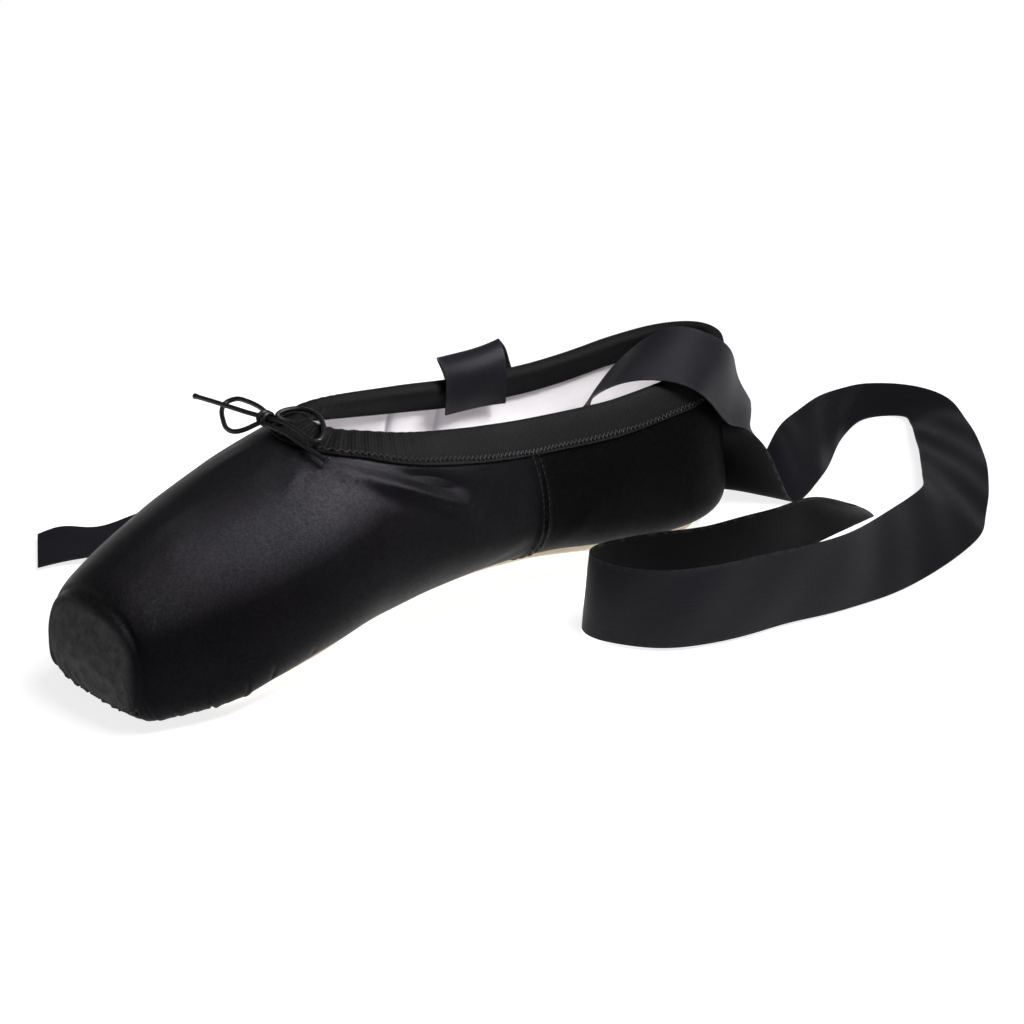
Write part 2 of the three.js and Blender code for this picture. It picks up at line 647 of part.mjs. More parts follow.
// Drawstring: a knot at the throat with two loops and two ends.
const KNOT_AT = [-12, -43, 68.6];
const NEAR_LOOP = [
  [-9.0, -42.0, 69.8], [-9.6, -38.5, 70.4], [-8.0, -34.5, 70.5], [-3.5, -33.0, 70.4],
  [2.0, -34.2, 70.4], [7.0, -36.8, 70.2], [11.0, -40.0, 69.7], [12.6, -43.2, 68.9],
  [9.4, -44.6, 69.1], [4.5, -44.0, 69.6], [-1.0, -43.6, 69.8], [-6.0, -43.4, 69.6],
];
const FAR_LOOP = [
  [-14.6, -41.6, 69.0], [-20.0, -40.2, 68.8], [-27.0, -39.4, 68.2], [-32.4, -39.6, 67.4],
  [-34.2, -42.2, 66.2], [-31.6, -45.4, 65.2], [-27.4, -48.0, 64.4], [-22.4, -50.4, 63.9],
  [-17.6, -50.8, 64.4], [-14.8, -48.8, 65.6], [-13.4, -46.6, 66.8],
];
const NEAR_END = [
  [-9.4, -45.0, 67.6], [-5.0, -45.4, 67.9], [0.0, -45.4, 68.0], [5.0, -45.6, 67.6],
  [10.0, -45.6, 66.8], [14.4, -45.0, 65.9], [18.2, -44.4, 64.9],
];
const FAR_END = [
  [-14.7, -43.8, 68.5], [-19.0, -44.8, 68.4], [-24.0, -45.6, 68.3], [-29.0, -46.2, 68.1],
  [-34.0, -46.6, 67.8], [-39.0, -46.8, 67.3], [-43.2, -46.8, 66.8],
];

const CORD_SIDES = 8;
function cordGeometry(points) {
  const path = new THREE.CatmullRomCurve3(points.map((p) => new THREE.Vector3(...p)));
  const section = new THREE.Shape();
  for (let i = 0; i < CORD_SIDES; i += 1) {
    const angle = (i / CORD_SIDES) * 2 * Math.PI;
    const x = (CORD_DIAMETER / 2) * Math.cos(angle);
    const y = (CORD_DIAMETER / 2) * Math.sin(angle);
    if (i === 0) section.moveTo(x, y);
    else section.lineTo(x, y);
  }
  section.closePath();
  const steps = Math.ceil(path.getLength() / (2 * CORD_DIAMETER));
  return new THREE.ExtrudeGeometry(section, { steps, extrudePath: path, bevelEnabled: false });
}

const KNOT_SLIM = 0.8;
function knotGeometry() {
  const knot = new THREE.SphereGeometry(KNOT_LENGTH / 2, 12, 8);
  knot.scale(KNOT_SLIM, 1, KNOT_SLIM);
  knot.translate(...KNOT_AT);
  return knot;
}

// The heel leans back past the length and carries the tape, which moves the middle of the shoe.
const heelLean = heelBack(HEEL_HEIGHT / INSTEP_HEIGHT) + TAPE_CLEARANCE + TAPE_THICKNESS;
const MIDDLE_Y = heelLean / 2;

const shoe = new THREE.Group();
function add(name, geometry, material) {
  geometry.translate(0, -MIDDLE_Y, 0);
  const mesh = new THREE.Mesh(geometry, material);
  mesh.name = name;
  shoe.add(mesh);
}

add('upper', upperGeometry(), satin);
add('binding', bindingGeometry(), tape);
add('outsole', outsoleGeometry(), leather);
add('insole', insoleGeometry(), canvas);
add('ribbon_near', ribbonGeometry(NEAR_RIBBON), ribbonSatin);
add('ribbon_far', ribbonGeometry(FAR_RIBBON), ribbonSatin);
add('drawstring_knot', knotGeometry(), cordCotton);
add('drawstring_loop_near', cordGeometry(NEAR_LOOP), cordCotton);
add('drawstring_loop_far', cordGeometry(FAR_LOOP), cordCotton);
add('drawstring_end_near', cordGeometry(NEAR_END), cordCotton);
add('drawstring_end_far', cordGeometry(FAR_END), cordCotton);

export default shoe;
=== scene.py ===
from itertools import zip_longest

import bmesh
import bpy
import numpy as np
from mathutils import Matrix


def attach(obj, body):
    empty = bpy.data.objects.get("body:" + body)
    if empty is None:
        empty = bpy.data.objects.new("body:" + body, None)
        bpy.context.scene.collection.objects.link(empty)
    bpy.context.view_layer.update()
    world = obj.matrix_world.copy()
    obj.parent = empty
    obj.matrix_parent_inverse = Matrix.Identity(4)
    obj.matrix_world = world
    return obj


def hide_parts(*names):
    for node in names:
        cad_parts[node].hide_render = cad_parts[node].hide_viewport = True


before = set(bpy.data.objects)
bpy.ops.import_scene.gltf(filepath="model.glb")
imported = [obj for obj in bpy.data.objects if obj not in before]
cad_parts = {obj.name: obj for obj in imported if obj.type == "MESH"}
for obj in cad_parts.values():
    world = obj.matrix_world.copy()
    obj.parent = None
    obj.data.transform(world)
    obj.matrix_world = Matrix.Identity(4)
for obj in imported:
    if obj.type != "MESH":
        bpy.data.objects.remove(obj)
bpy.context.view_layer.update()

# Sizes of the shoe, as in the part
LENGTH = 240
BALL_WIDTH = 74
HEEL_WIDTH = 53
INSTEP_HEIGHT = 70
HEEL_HEIGHT = 60
THROAT_AT = 84
WALL = 2.0
CLEARANCE = 0.3
TOE_ROUND = 18
HEEL_ROUND = 30
SOLE_THICKNESS = 2.6
SOLE_WIDTH = 46
SOLE_START = 22
SOLE_END_MARGIN = 9
LASTING_OPENING = 24
INSOLE_THICKNESS = 1.6
INSOLE_MARGIN = 3
TAPE_DEPTH = 10
TAPE_THICKNESS = 0.8
TAPE_CLEARANCE = 0.5
SEAM_WIDTH = 4
SEAM_RISE = 0.5
SIDE_SEAM_AT = 149
RIBBON_WIDTH = 24
CORD_DIAMETER = 1.5

TOE_Y = -LENGTH / 2
HEEL_Y = LENGTH / 2
TOE_BLEND_Y = TOE_Y + TOE_ROUND
HEEL_BLEND_Y = HEEL_Y - HEEL_ROUND
THROAT_Y = TOE_Y + THROAT_AT
SIDE_SEAM_Y = TOE_Y + SIDE_SEAM_AT
FAN_Y = TOE_Y + SOLE_START + 16
SIDE_START_Y = FAN_Y + 0.4 * (THROAT_Y - FAN_Y)
SOLE_FRONT = TOE_Y + SOLE_START
SOLE_BACK = HEEL_Y - SOLE_END_MARGIN

# Tables of the last: along, ball, heel, under, widest, crown, square
SECTIONS = [
    (0.00, 0.56, 0.00, 0.020, 0.25, 0.50, 2.8),
    (0.05, 0.70, 0.00, 0.016, 0.27, 0.60, 4.2),
    (0.12, 0.84, 0.00, 0.024, 0.30, 0.71, 4.2),
    (0.20, 0.955, 0.00, 0.041, 0.36, 0.81, 2.8),
    (0.29, 1.00, 0.00, 0.070, 0.43, 0.91, 2.2),
    (0.37, 0.82, 0.20, 0.110, 0.46, 0.985, 2.0),
    (0.46, 0.535, 0.50, 0.145, 0.45, 1.01, 2.0),
    (0.56, 0.28, 0.75, 0.160, 0.42, 1.01, 2.1),
    (0.66, 0.10, 0.90, 0.140, 0.37, 1.00, 2.3),
    (0.76, 0.02, 0.99, 0.090, 0.31, 1.00, 2.5),
    (0.86, 0.00, 1.00, 0.040, 0.26, 1.02, 2.6),
    (1.00, 0.00, 1.00, 0.038, 0.25, 1.05, 2.6),
]
# Collar height behind the throat: behind, share of the throat, share of the heel height
COLLAR = [
    (0.00, 1.00, 0.000), (0.05, 0.94, 0.055), (0.11, 0.86, 0.120), (0.20, 0.72, 0.240),
    (0.31, 0.58, 0.355), (0.48, 0.38, 0.525), (0.66, 0.18, 0.720), (0.85, 0.05, 0.890),
    (1.00, 0.00, 1.000),
]
# How far the toe's face and the heel's back are set back: height, set back
TOE_FACE = [
    (-0.05, 0.70), (0.00, 0.54), (0.08, 0.28), (0.18, 0.09), (0.28, 0.01), (0.45, 0.03),
    (0.65, 0.12),
]
HEEL_BACK = [
    (-0.05, 0.60), (0.00, 0.40), (0.06, 0.20), (0.15, 0.07), (0.28, 0.01), (0.45, 0.04),
    (0.65, 0.03), (0.86, -0.05), (1.10, -0.12),
]
# Along the sole, share of half its width
SOLE_OUTLINE = [
    (0.00, 0.72), (0.10, 0.88), (0.22, 0.86), (0.34, 0.66), (0.48, 0.52), (0.62, 0.50),
    (0.76, 0.62), (0.88, 0.70), (1.00, 0.66),
]
UPPER_POWER = 2.2
WIDTH_POWER = 2.1
HEEL_POWER = 2.2
TOE_POWER = 6
POWER_BLEND = 8

# Searching: how far a ray reaches, how often a span is halved, how far a probe steps aside
RAY_LENGTH = 180
RAY_HALVINGS = 34
CLIMB_HALVINGS = 30
PROBE = 0.05
TINY = 1e-9
QUARTER_TURN = np.pi / 2
# What a bend in a rib counts when its points are spread, in millimetres to a radian
BEND_LENGTH = 16
# Meshes: points this close, in metres, are one, and edges bent by more radians stay sharp
WELD = 1e-7
SHARP_ANGLE = 0.9


def table_curve(xs, ys):
    """A smooth curve through the rows of a table, without overshoot between them."""
    gaps = np.diff(xs)
    rises = np.diff(ys) / gaps
    slopes = np.zeros_like(ys)
    slopes[0], slopes[-1] = rises[0], rises[-1]
    for i in range(1, len(xs) - 1):
        if rises[i - 1] * rises[i] > 0:
            before = 2 * gaps[i] + gaps[i - 1]
            after = gaps[i] + 2 * gaps[i - 1]
            slopes[i] = (before + after) / (before / rises[i - 1] + after / rises[i])

    def curve(x):
        x = np.asarray(x, float)
        i = np.clip(np.searchsorted(xs, x, side="right") - 1, 0, len(gaps) - 1)
        t = (x - xs[i]) / gaps[i]
        flat = ys[i] * (1 + 2 * t) * (1 - t) ** 2 + ys[i + 1] * t * t * (3 - 2 * t)
        lean = slopes[i] * t * (1 - t) ** 2 + slopes[i + 1] * t * t * (t - 1)
        value = flat + lean * gaps[i]
        value = np.where(x < xs[0], ys[0] + slopes[0] * (x - xs[0]), value)
        return np.where(x > xs[-1], ys[-1] + slopes[-1] * (x - xs[-1]), value)

    return curve


ALONG, BALL, HEEL, UNDER, WIDEST, CROWN, SQUARE = np.transpose(SECTIONS)
half_width = table_curve(ALONG, (BALL * BALL_WIDTH + HEEL * HEEL_WIDTH) / 2)
underside = table_curve(ALONG, UNDER * INSTEP_HEIGHT)
widest_height = table_curve(ALONG, WIDEST * INSTEP_HEIGHT)
crown_height = table_curve(ALONG, CROWN * INSTEP_HEIGHT)
lower_power = table_curve(ALONG, SQUARE)
FACE_HEIGHT, FACE_BACK = np.transpose(TOE_FACE)
toe_face = table_curve(FACE_HEIGHT, FACE_BACK * TOE_ROUND)
BACK_HEIGHT, BACK_IN = np.transpose(HEEL_BACK)
heel_back = table_curve(BACK_HEIGHT, -BACK_IN * HEEL_ROUND)
BEHIND, THROAT_SHARE, HEEL_SHARE = np.transpose(COLLAR)
THROAT_CROWN = float(crown_height(THROAT_AT / LENGTH))
collar_curve = table_curve(BEHIND, THROAT_SHARE * THROAT_CROWN + HEEL_SHARE * HEEL_HEIGHT)
SOLE_ALONG, SOLE_HALF = np.transpose(SOLE_OUTLINE)
sole_outline = table_curve(SOLE_ALONG, SOLE_HALF * SOLE_WIDTH / 2)
HEEL_LEAN = float(heel_back(HEEL_HEIGHT / INSTEP_HEIGHT)) + TAPE_CLEARANCE + TAPE_THICKNESS
MIDDLE_Y = HEEL_LEAN / 2


def to_frame(points):
    """Millimetres of the last to metres of the frame."""
    return (np.asarray(points, float) - (0, MIDDLE_Y, 0)) / 1000


def share_at(y):
    return (y - TOE_Y) / LENGTH


def collar_height(y):
    return collar_curve((y - THROAT_Y) / (LENGTH - THROAT_AT))


def last(p):
    """Below 0 inside the last, above 0 outside, 0 on the outer face of the upper."""
    x, y, z = p[..., 0], p[..., 1], p[..., 2]
    along = np.clip(share_at(y), -0.03, 1.03)
    widest = widest_height(along)
    above = z > widest
    reach = np.where(above, crown_height(along) - widest, widest - underside(along))
    rise = np.minimum(np.abs(z - widest) / reach, 1.5)
    rise_power = np.where(above, UPPER_POWER, lower_power(along))
    turned = smooth(z, widest - POWER_BLEND, widest + POWER_BLEND)
    side_power = lower_power(along) * (1 - turned) + WIDTH_POWER * turned
    side = (np.abs(x) / half_width(along)) ** side_power
    back = HEEL_ROUND + heel_back(z / INSTEP_HEIGHT)
    closing = 1 - np.minimum(rise, 0.999999) ** rise_power
    behind = np.maximum(y - HEEL_BLEND_Y, 0) / back
    heel = np.where(rise >= 1, 1, side / closing + np.abs(behind) ** HEEL_POWER - 1)
    front = TOE_ROUND - toe_face(np.clip(z / INSTEP_HEIGHT, -0.05, 0.7))
    toe = np.maximum(0, (TOE_BLEND_Y - y) / front) ** TOE_POWER
    return np.where(y > HEEL_BLEND_Y, heel, side + rise ** rise_power + toe - 1)


def meet(start, direction):
    """The outer face of the last met by rays from inside it."""
    near = np.zeros(start.shape[:-1])
    far = np.full(start.shape[:-1], float(RAY_LENGTH))
    for _ in range(RAY_HALVINGS):
        middle = (near + far) / 2
        outside = last(start + middle[..., None] * direction) > 0
        far = np.where(outside, middle, far)
        near = np.where(outside, near, middle)
    return start + near[..., None] * direction


def normal_at(p):
    """The outward normal of the last."""
    steps = np.eye(3) * PROBE
    slope = np.stack([last(p + step) - last(p - step) for step in steps], -1)
    slope[..., 0] = np.where(np.abs(p[..., 0]) < TINY, 0, slope[..., 0])
    return unit(slope)


def unit(v):
    return v / np.maximum(np.linalg.norm(v, axis=-1, keepdims=True), 1e-12)


def smooth(x, low, high):
    t = np.clip((x - low) / (high - low), 0, 1)
    return t * t * (3 - 2 * t)


def bell(distance, width):
    return np.exp(-(distance / width) ** 2)


# Ribs: half planes that stand on the middle line, fanned round the toe and the heel. Root is
# where one stands, turn is its way seen from above and climb is the slope of a ray within it.
def rib_points(root, turn, climb):
    root, turn, climb = np.broadcast_arrays(root, turn, climb)
    start = np.stack([np.zeros(root.shape), root, widest_height(share_at(root))], -1)
    flat = np.cos(climb)
    direction = np.stack([flat * np.cos(turn), flat * np.sin(turn), np.sin(climb)], -1)
    return meet(start, direction)


def climb_where(root, turn, low, high, test):
    """The climb at which a test of the point on each rib turns true."""
    low = np.full(root.shape, float(low))
    high = np.full(root.shape, float(high))
    for _ in range(CLIMB_HALVINGS):
        middle = (low + high) / 2
        hit = test(rib_points(root, turn, middle))
        high = np.where(hit, middle, high)
        low = np.where(hit, low, middle)
    return (low + high) / 2


def sole_share(y):
    return (y - SOLE_FRONT) / (SOLE_BACK - SOLE_FRONT)


def rib_range(root, turn):
    """The climbs at which each rib leaves the sole's opening and meets the collar or the top."""
    reach = LASTING_OPENING / SOLE_WIDTH * sole_outline(sole_share(root))
    start = climb_where(
        root, turn, -QUARTER_TURN, -0.2,
        lambda p: np.hypot(p[..., 0], p[..., 1] - root) > reach)
    stop = climb_where(
        root, turn, 0, QUARTER_TURN, lambda p: p[..., 2] > collar_height(p[..., 1]))
    whole = (turn < 0) | (root <= THROAT_Y + TINY)
    return start, np.where(whole, QUARTER_TURN, stop)


def collar_rim(root, turn):
    return rib_points(root, turn, rib_range(root, turn)[1])


def collar_ribs(count):
    """Ribs from the throat to the back of the heel, evenly spaced along the collar's rim."""
    t = np.linspace(0, 1, 500)
    side = THROAT_Y + (HEEL_BLEND_Y - THROAT_Y) * t ** 2.4
    root = np.concatenate([side, np.full(200, HEEL_BLEND_Y)])
    turn = np.concatenate([np.zeros(500), np.linspace(0, QUARTER_TURN, 201)[1:]])
    along = length_of(collar_rim(root, turn))
    wanted = np.linspace(0, along[-1], count)
    return np.interp(wanted, along, root), np.interp(wanted, along, turn)


def upper_ribs(fan, front, collar):
    """Ribs round the toe's fan, on to the throat and along the collar."""
    t = np.arange(fan) / fan
    fan_root = FAN_Y + (SIDE_START_Y - FAN_Y) * t ** 1.6
    side_root = SIDE_START_Y + (THROAT_Y - SIDE_START_Y) * np.arange(front) / front
    collar_root, collar_turn = collar_ribs(collar)
    root = np.concatenate([fan_root, side_root, collar_root])
    turn = np.concatenate([-(1 - t) * QUARTER_TURN, np.zeros(front), collar_turn])
    return root, turn


def rib_grid(root, turn, rows):
    """Points up each rib, closer together where it turns."""
    start, stop = rib_range(root, turn)
    share = np.linspace(0, 1, 121)
    climbs = start[:, None] + (stop - start)[:, None] * share
    line = rib_points(root[:, None], turn[:, None], climbs)
    step = np.diff(line, axis=1)
    length = np.linalg.norm(step, axis=2)
    heading = unit(step)
    turned = np.arccos(np.clip((heading[:, 1:] * heading[:, :-1]).sum(-1), -1, 1))
    turned = np.concatenate([turned, turned[:, -1:]], 1)
    measure = np.cumsum(length + BEND_LENGTH * turned, axis=1)
    measure = np.concatenate([np.zeros((len(root), 1)), measure], 1)
    wanted = measure[:, -1:] * np.linspace(0, 1, rows + 1)
    climb = np.stack([np.interp(w, m, c) for w, m, c in zip(wanted, measure, climbs)])
    grid = rib_points(root[:, None], turn[:, None], climb)
    grid[np.abs(np.cos(turn)) < TINY, :, 0] = 0
    grid[stop > QUARTER_TURN - TINY, -1, 0] = 0
    return grid


def whole_ring(near):
    """Both sides of the shoe from its near side, with the first rib again at the end."""
    far = near[1:-1][::-1] * (-1, 1, 1)
    return np.concatenate([near, far, near[:1]])


# Meshes
def measured(points, axis):
    """Distance walked along an axis of a grid."""
    steps = np.linalg.norm(np.diff(points, axis=axis), axis=2)
    pad = [(0, 0), (0, 0)]
    pad[axis] = (1, 0)
    return np.cumsum(np.pad(steps, pad), axis=axis)


def grid_uv(points):
    """Lengths in metres along and across a grid, taken along its middle."""
    along = measured(points, 0)
    middle = along[:, along.shape[1] // 2]
    across = measured(points, 1)
    return np.stack([np.broadcast_to(middle[:, None], across.shape), across], -1) / 1000


def mesh_object(name, grids, material, tones=()):
    """One smooth piece from grids of points in millimetres, the first of them with tones."""
    verts, faces, uvs, tone_list = [], [], [], []
    offset = 0
    for points, tone in zip_longest(grids, tones):
        rows, cols = points.shape[:2]
        verts.append(to_frame(points).reshape(-1, 3))
        uvs.append(grid_uv(points).reshape(-1, 2))
        colors = np.zeros((rows, cols, 3))
        if tone is not None:
            colors += tone if tone.ndim == 3 else tone[..., None]
        tone_list.append(colors.reshape(-1, 3))
        i, j = np.meshgrid(np.arange(rows - 1), np.arange(cols - 1), indexing="ij")
        a = (offset + i * cols + j).reshape(-1)
        faces.append(np.stack([a, a + cols, a + cols + 1, a + 1], -1))
        offset += rows * cols
    verts, faces = np.concatenate(verts), np.concatenate(faces)
    mesh = bpy.data.meshes.new(name)
    mesh.from_pydata(verts.tolist(), [], faces.tolist())
    corner = np.zeros(len(mesh.loops), np.int32)
    mesh.loops.foreach_get("vertex_index", corner)
    layer = mesh.uv_layers.new(name="UVMap")
    layer.data.foreach_set("uv", np.concatenate(uvs)[corner].astype(np.float32).ravel())
    if tones:
        layer = mesh.color_attributes.new("tone", "FLOAT_COLOR", "POINT")
        values = np.pad(np.concatenate(tone_list), [(0, 0), (0, 1)], constant_values=1)
        layer.data.foreach_set("color", values.astype(np.float32).ravel())
    finish_mesh(mesh)
    obj = bpy.data.objects.new(name, mesh)
    bpy.context.scene.collection.objects.link(obj)
    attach(obj, "root")
    mesh.materials.append(material)
    return obj


def finish_mesh(mesh):
    """Welds a mesh, turns its faces outward and smooths all but its sharp edges."""
    bm = bmesh.new()
    bm.from_mesh(mesh)
    bmesh.ops.remove_doubles(bm, verts=bm.verts, dist=WELD)
    bmesh.ops.dissolve_degenerate(bm, edges=bm.edges, dist=WELD)
    bmesh.ops.recalc_face_normals(bm, faces=bm.faces)
    for face in bm.faces:
        face.smooth = True
    for edge in bm.edges:
        edge.smooth = not edge.is_manifold or edge.calc_face_angle(0) < SHARP_ANGLE
    bm.to_mesh(mesh)
    bm.free()


def catmull_rom(points, t):
    """The centripetal curve through points, at shares t of their count."""
    p = np.array(points, float)
    p = np.vstack([2 * p[0] - p[1], p, 2 * p[-1] - p[-2]])
    at = np.clip(t, 0, 1) * (len(p) - 3)
    i = np.minimum(at.astype(int), len(p) - 4)
    w = (at - i)[:, None]
    p0, p1, p2, p3 = p[i], p[i + 1], p[i + 2], p[i + 3]
    gap = [
        np.sqrt(np.linalg.norm(b - a, axis=1))[:, None]
        for a, b in ((p0, p1), (p1, p2), (p2, p3))]
    lead = (p1 - p0) / gap[0] - (p2 - p0) / (gap[0] + gap[1]) + (p2 - p1) / gap[1]
    trail = (p2 - p1) / gap[1] - (p3 - p1) / (gap[1] + gap[2]) + (p3 - p2) / gap[2]
    lead, trail = lead * gap[1], trail * gap[1]
    cube = 2 * p1 - 2 * p2 + lead + trail
    square = -3 * p1 + 3 * p2 - 2 * lead - trail
    return p1 + lead * w + square * w ** 2 + cube * w ** 3


def length_of(line):
    """Distance walked along a line."""
    return np.concatenate([[0], np.cumsum(np.linalg.norm(np.diff(line, axis=0), axis=1))])


def taken_at(wanted, along, line):
    return np.stack([np.interp(wanted, along, line[:, k]) for k in range(3)], 1)


def evenly(line, count):
    """A line taken at even distances."""
    along = length_of(line)
    return taken_at(np.linspace(0, along[-1], count), along, line)


# Cords first: the drawstring's two halves, from the casing through the knot, a loop and an end
KNOT_AT = (-12, -43, 68.6)
NEAR_LOOP = [
    (-9.0, -42.0, 69.8), (-9.6, -38.5, 70.4), (-8.0, -34.5, 70.5), (-3.5, -33.0, 70.4),
    (2.0, -34.2, 70.4), (7.0, -36.8, 70.2), (11.0, -40.0, 69.7), (12.6, -43.2, 68.9),
    (9.4, -44.6, 69.1), (4.5, -44.0, 69.6), (-1.0, -43.6, 69.8), (-6.0, -43.4, 69.6),
]
FAR_LOOP = [
    (-14.6, -41.6, 69.0), (-20.0, -40.2, 68.8), (-27.0, -39.4, 68.2), (-32.4, -39.6, 67.4),
    (-34.2, -42.2, 66.2), (-31.6, -45.4, 65.2), (-27.4, -48.0, 64.4), (-22.4, -50.4, 63.9),
    (-17.6, -50.8, 64.4), (-14.8, -48.8, 65.6), (-13.4, -46.6, 66.8),
]
NEAR_END = [
    (-9.4, -45.0, 67.6), (-5.0, -45.4, 67.9), (0.0, -45.4, 68.0), (5.0, -45.6, 67.6),
    (10.0, -45.6, 66.8), (14.4, -45.0, 65.9), (18.2, -44.4, 64.9),
]
FAR_END = [
    (-14.7, -43.8, 68.5), (-19.0, -44.8, 68.4), (-24.0, -45.6, 68.3), (-29.0, -46.2, 68.1),
    (-34.0, -46.6, 67.8), (-39.0, -46.8, 67.3), (-43.2, -46.8, 66.8),
]
CORD_SMOOTHING = 0.9
CORD_SIDES = 12


def tube_rings(line, radius, sides):
    """Rings square to a line, turned as little as possible from one to the next."""
    heading = unit(np.gradient(line, axis=0))
    side = unit(np.cross(heading[0], (0.3, 0.2, 1.0)))
    rings = []
    for i, point in enumerate(line):
        side = unit(side - heading[i] * side.dot(heading[i]))
        other = np.cross(heading[i], side)
        angle = np.linspace(0, 2 * np.pi, sides + 1)
        r = radius[i] if np.ndim(radius) else radius
        rings.append(point + r * (np.outer(np.cos(angle), side) + np.outer(np.sin(angle), other)))
    return np.array(rings)


def closed_tube(line, radius):
    rings = tube_rings(line, radius, CORD_SIDES)
    caps = [np.repeat(line[[end], None], CORD_SIDES + 1, 1) for end in (0, -1)]
    return np.concatenate([caps[0], rings, caps[1]])


def make_cord(name, points, nodes, material):
    """One half of the drawstring, thin and round, with a slightly swollen cut end."""
    curve = catmull_rom(points, np.linspace(0, 1, 60 * len(points)))
    line = evenly(curve, 12 * len(points))
    line = smoothed(line, np.linalg.norm(line[1] - line[0]), CORD_SMOOTHING)
    along = length_of(line)
    swell = 1 + 0.22 * bell(along[-1] - along, 1.1)
    radius = CORD_DIAMETER / 2 * swell
    cord = mesh_object(name, [closed_tube(line, radius)], material)
    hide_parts(*nodes)


def make_knot(material):
    """Two turns of the cord round the crossing in the middle of the bow."""
    turns = []
    for shift, lean in ((-0.9, 0.25), (0.75, -0.2)):
        angle = np.linspace(0, 2 * np.pi, 33)
        x = KNOT_AT[0] + shift + lean * np.cos(angle)
        y = KNOT_AT[1] + 1.95 * np.cos(angle) - 0.5
        z = KNOT_AT[2] + 1.5 * np.sin(angle)
        line = np.stack([x, y, z], 1)
        turns.append(tube_rings(line, CORD_DIAMETER / 2, CORD_SIDES))
    knot = mesh_object("drawstring_turns", turns, material)
    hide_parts("drawstring_knot")


NEAR_CORD = [(-4.0, -39.0, 68.2), (-7.0, -40.6, 68.6)] + NEAR_LOOP + [
    (-9.6, -43.6, 68.9), (-12.4, -44.2, 68.2), (-12.2, -45.4, 67.4)] + NEAR_END
FAR_CORD = [(-19.0, -38.4, 66.4), (-16.6, -40.0, 67.6)] + FAR_LOOP + [
    (-12.2, -44.6, 67.8), (-12.0, -43.0, 68.4)] + FAR_END


# Camera: the photograph's angle, with its frame off the middle of the view
CAMERA_TURN = np.radians(50)
CAMERA_HEIGHT = np.radians(23.5)
CAMERA_DISTANCE = 1.1
FOCAL_PIXELS = 3618
FRAME_PIXELS = 1024
ORIGIN_PIXEL = (411, 604)


def add_aimed(name, data, right, up, back, place):
    """A camera or a light in the scene, from its own directions and its place."""
    made = bpy.data.objects.new(name, data)
    matrix = Matrix.Identity(4)
    for k, axis in enumerate((right, up, back, place)):
        for row in range(3):
            matrix[row][k] = axis[row]
    made.matrix_world = matrix
    bpy.context.scene.collection.objects.link(made)
    return made


def make_camera():
    back = np.array([
        np.sin(CAMERA_TURN) * np.cos(CAMERA_HEIGHT),
        -np.cos(CAMERA_TURN) * np.cos(CAMERA_HEIGHT),
        np.sin(CAMERA_HEIGHT)])
    right = np.array([np.cos(CAMERA_TURN), np.sin(CAMERA_TURN), 0])
    up = np.cross(back, right)
    middle = FRAME_PIXELS / 2
    aside = (middle - ORIGIN_PIXEL[0]) / FOCAL_PIXELS * CAMERA_DISTANCE
    above = (ORIGIN_PIXEL[1] - middle) / FOCAL_PIXELS * CAMERA_DISTANCE
    place = to_frame((0, 0, 0)) + CAMERA_DISTANCE * back + aside * right + above * up
    data = bpy.data.cameras.new("camera")
    data.sensor_width = 36
    data.lens = FOCAL_PIXELS / FRAME_PIXELS * data.sensor_width
    data.clip_start = 0.01
    bpy.context.scene.camera = add_aimed("camera", data, right, up, back, place)


# Materials
# The scale of a wave texture times the width of one band
BAND_SCALE = 0.314


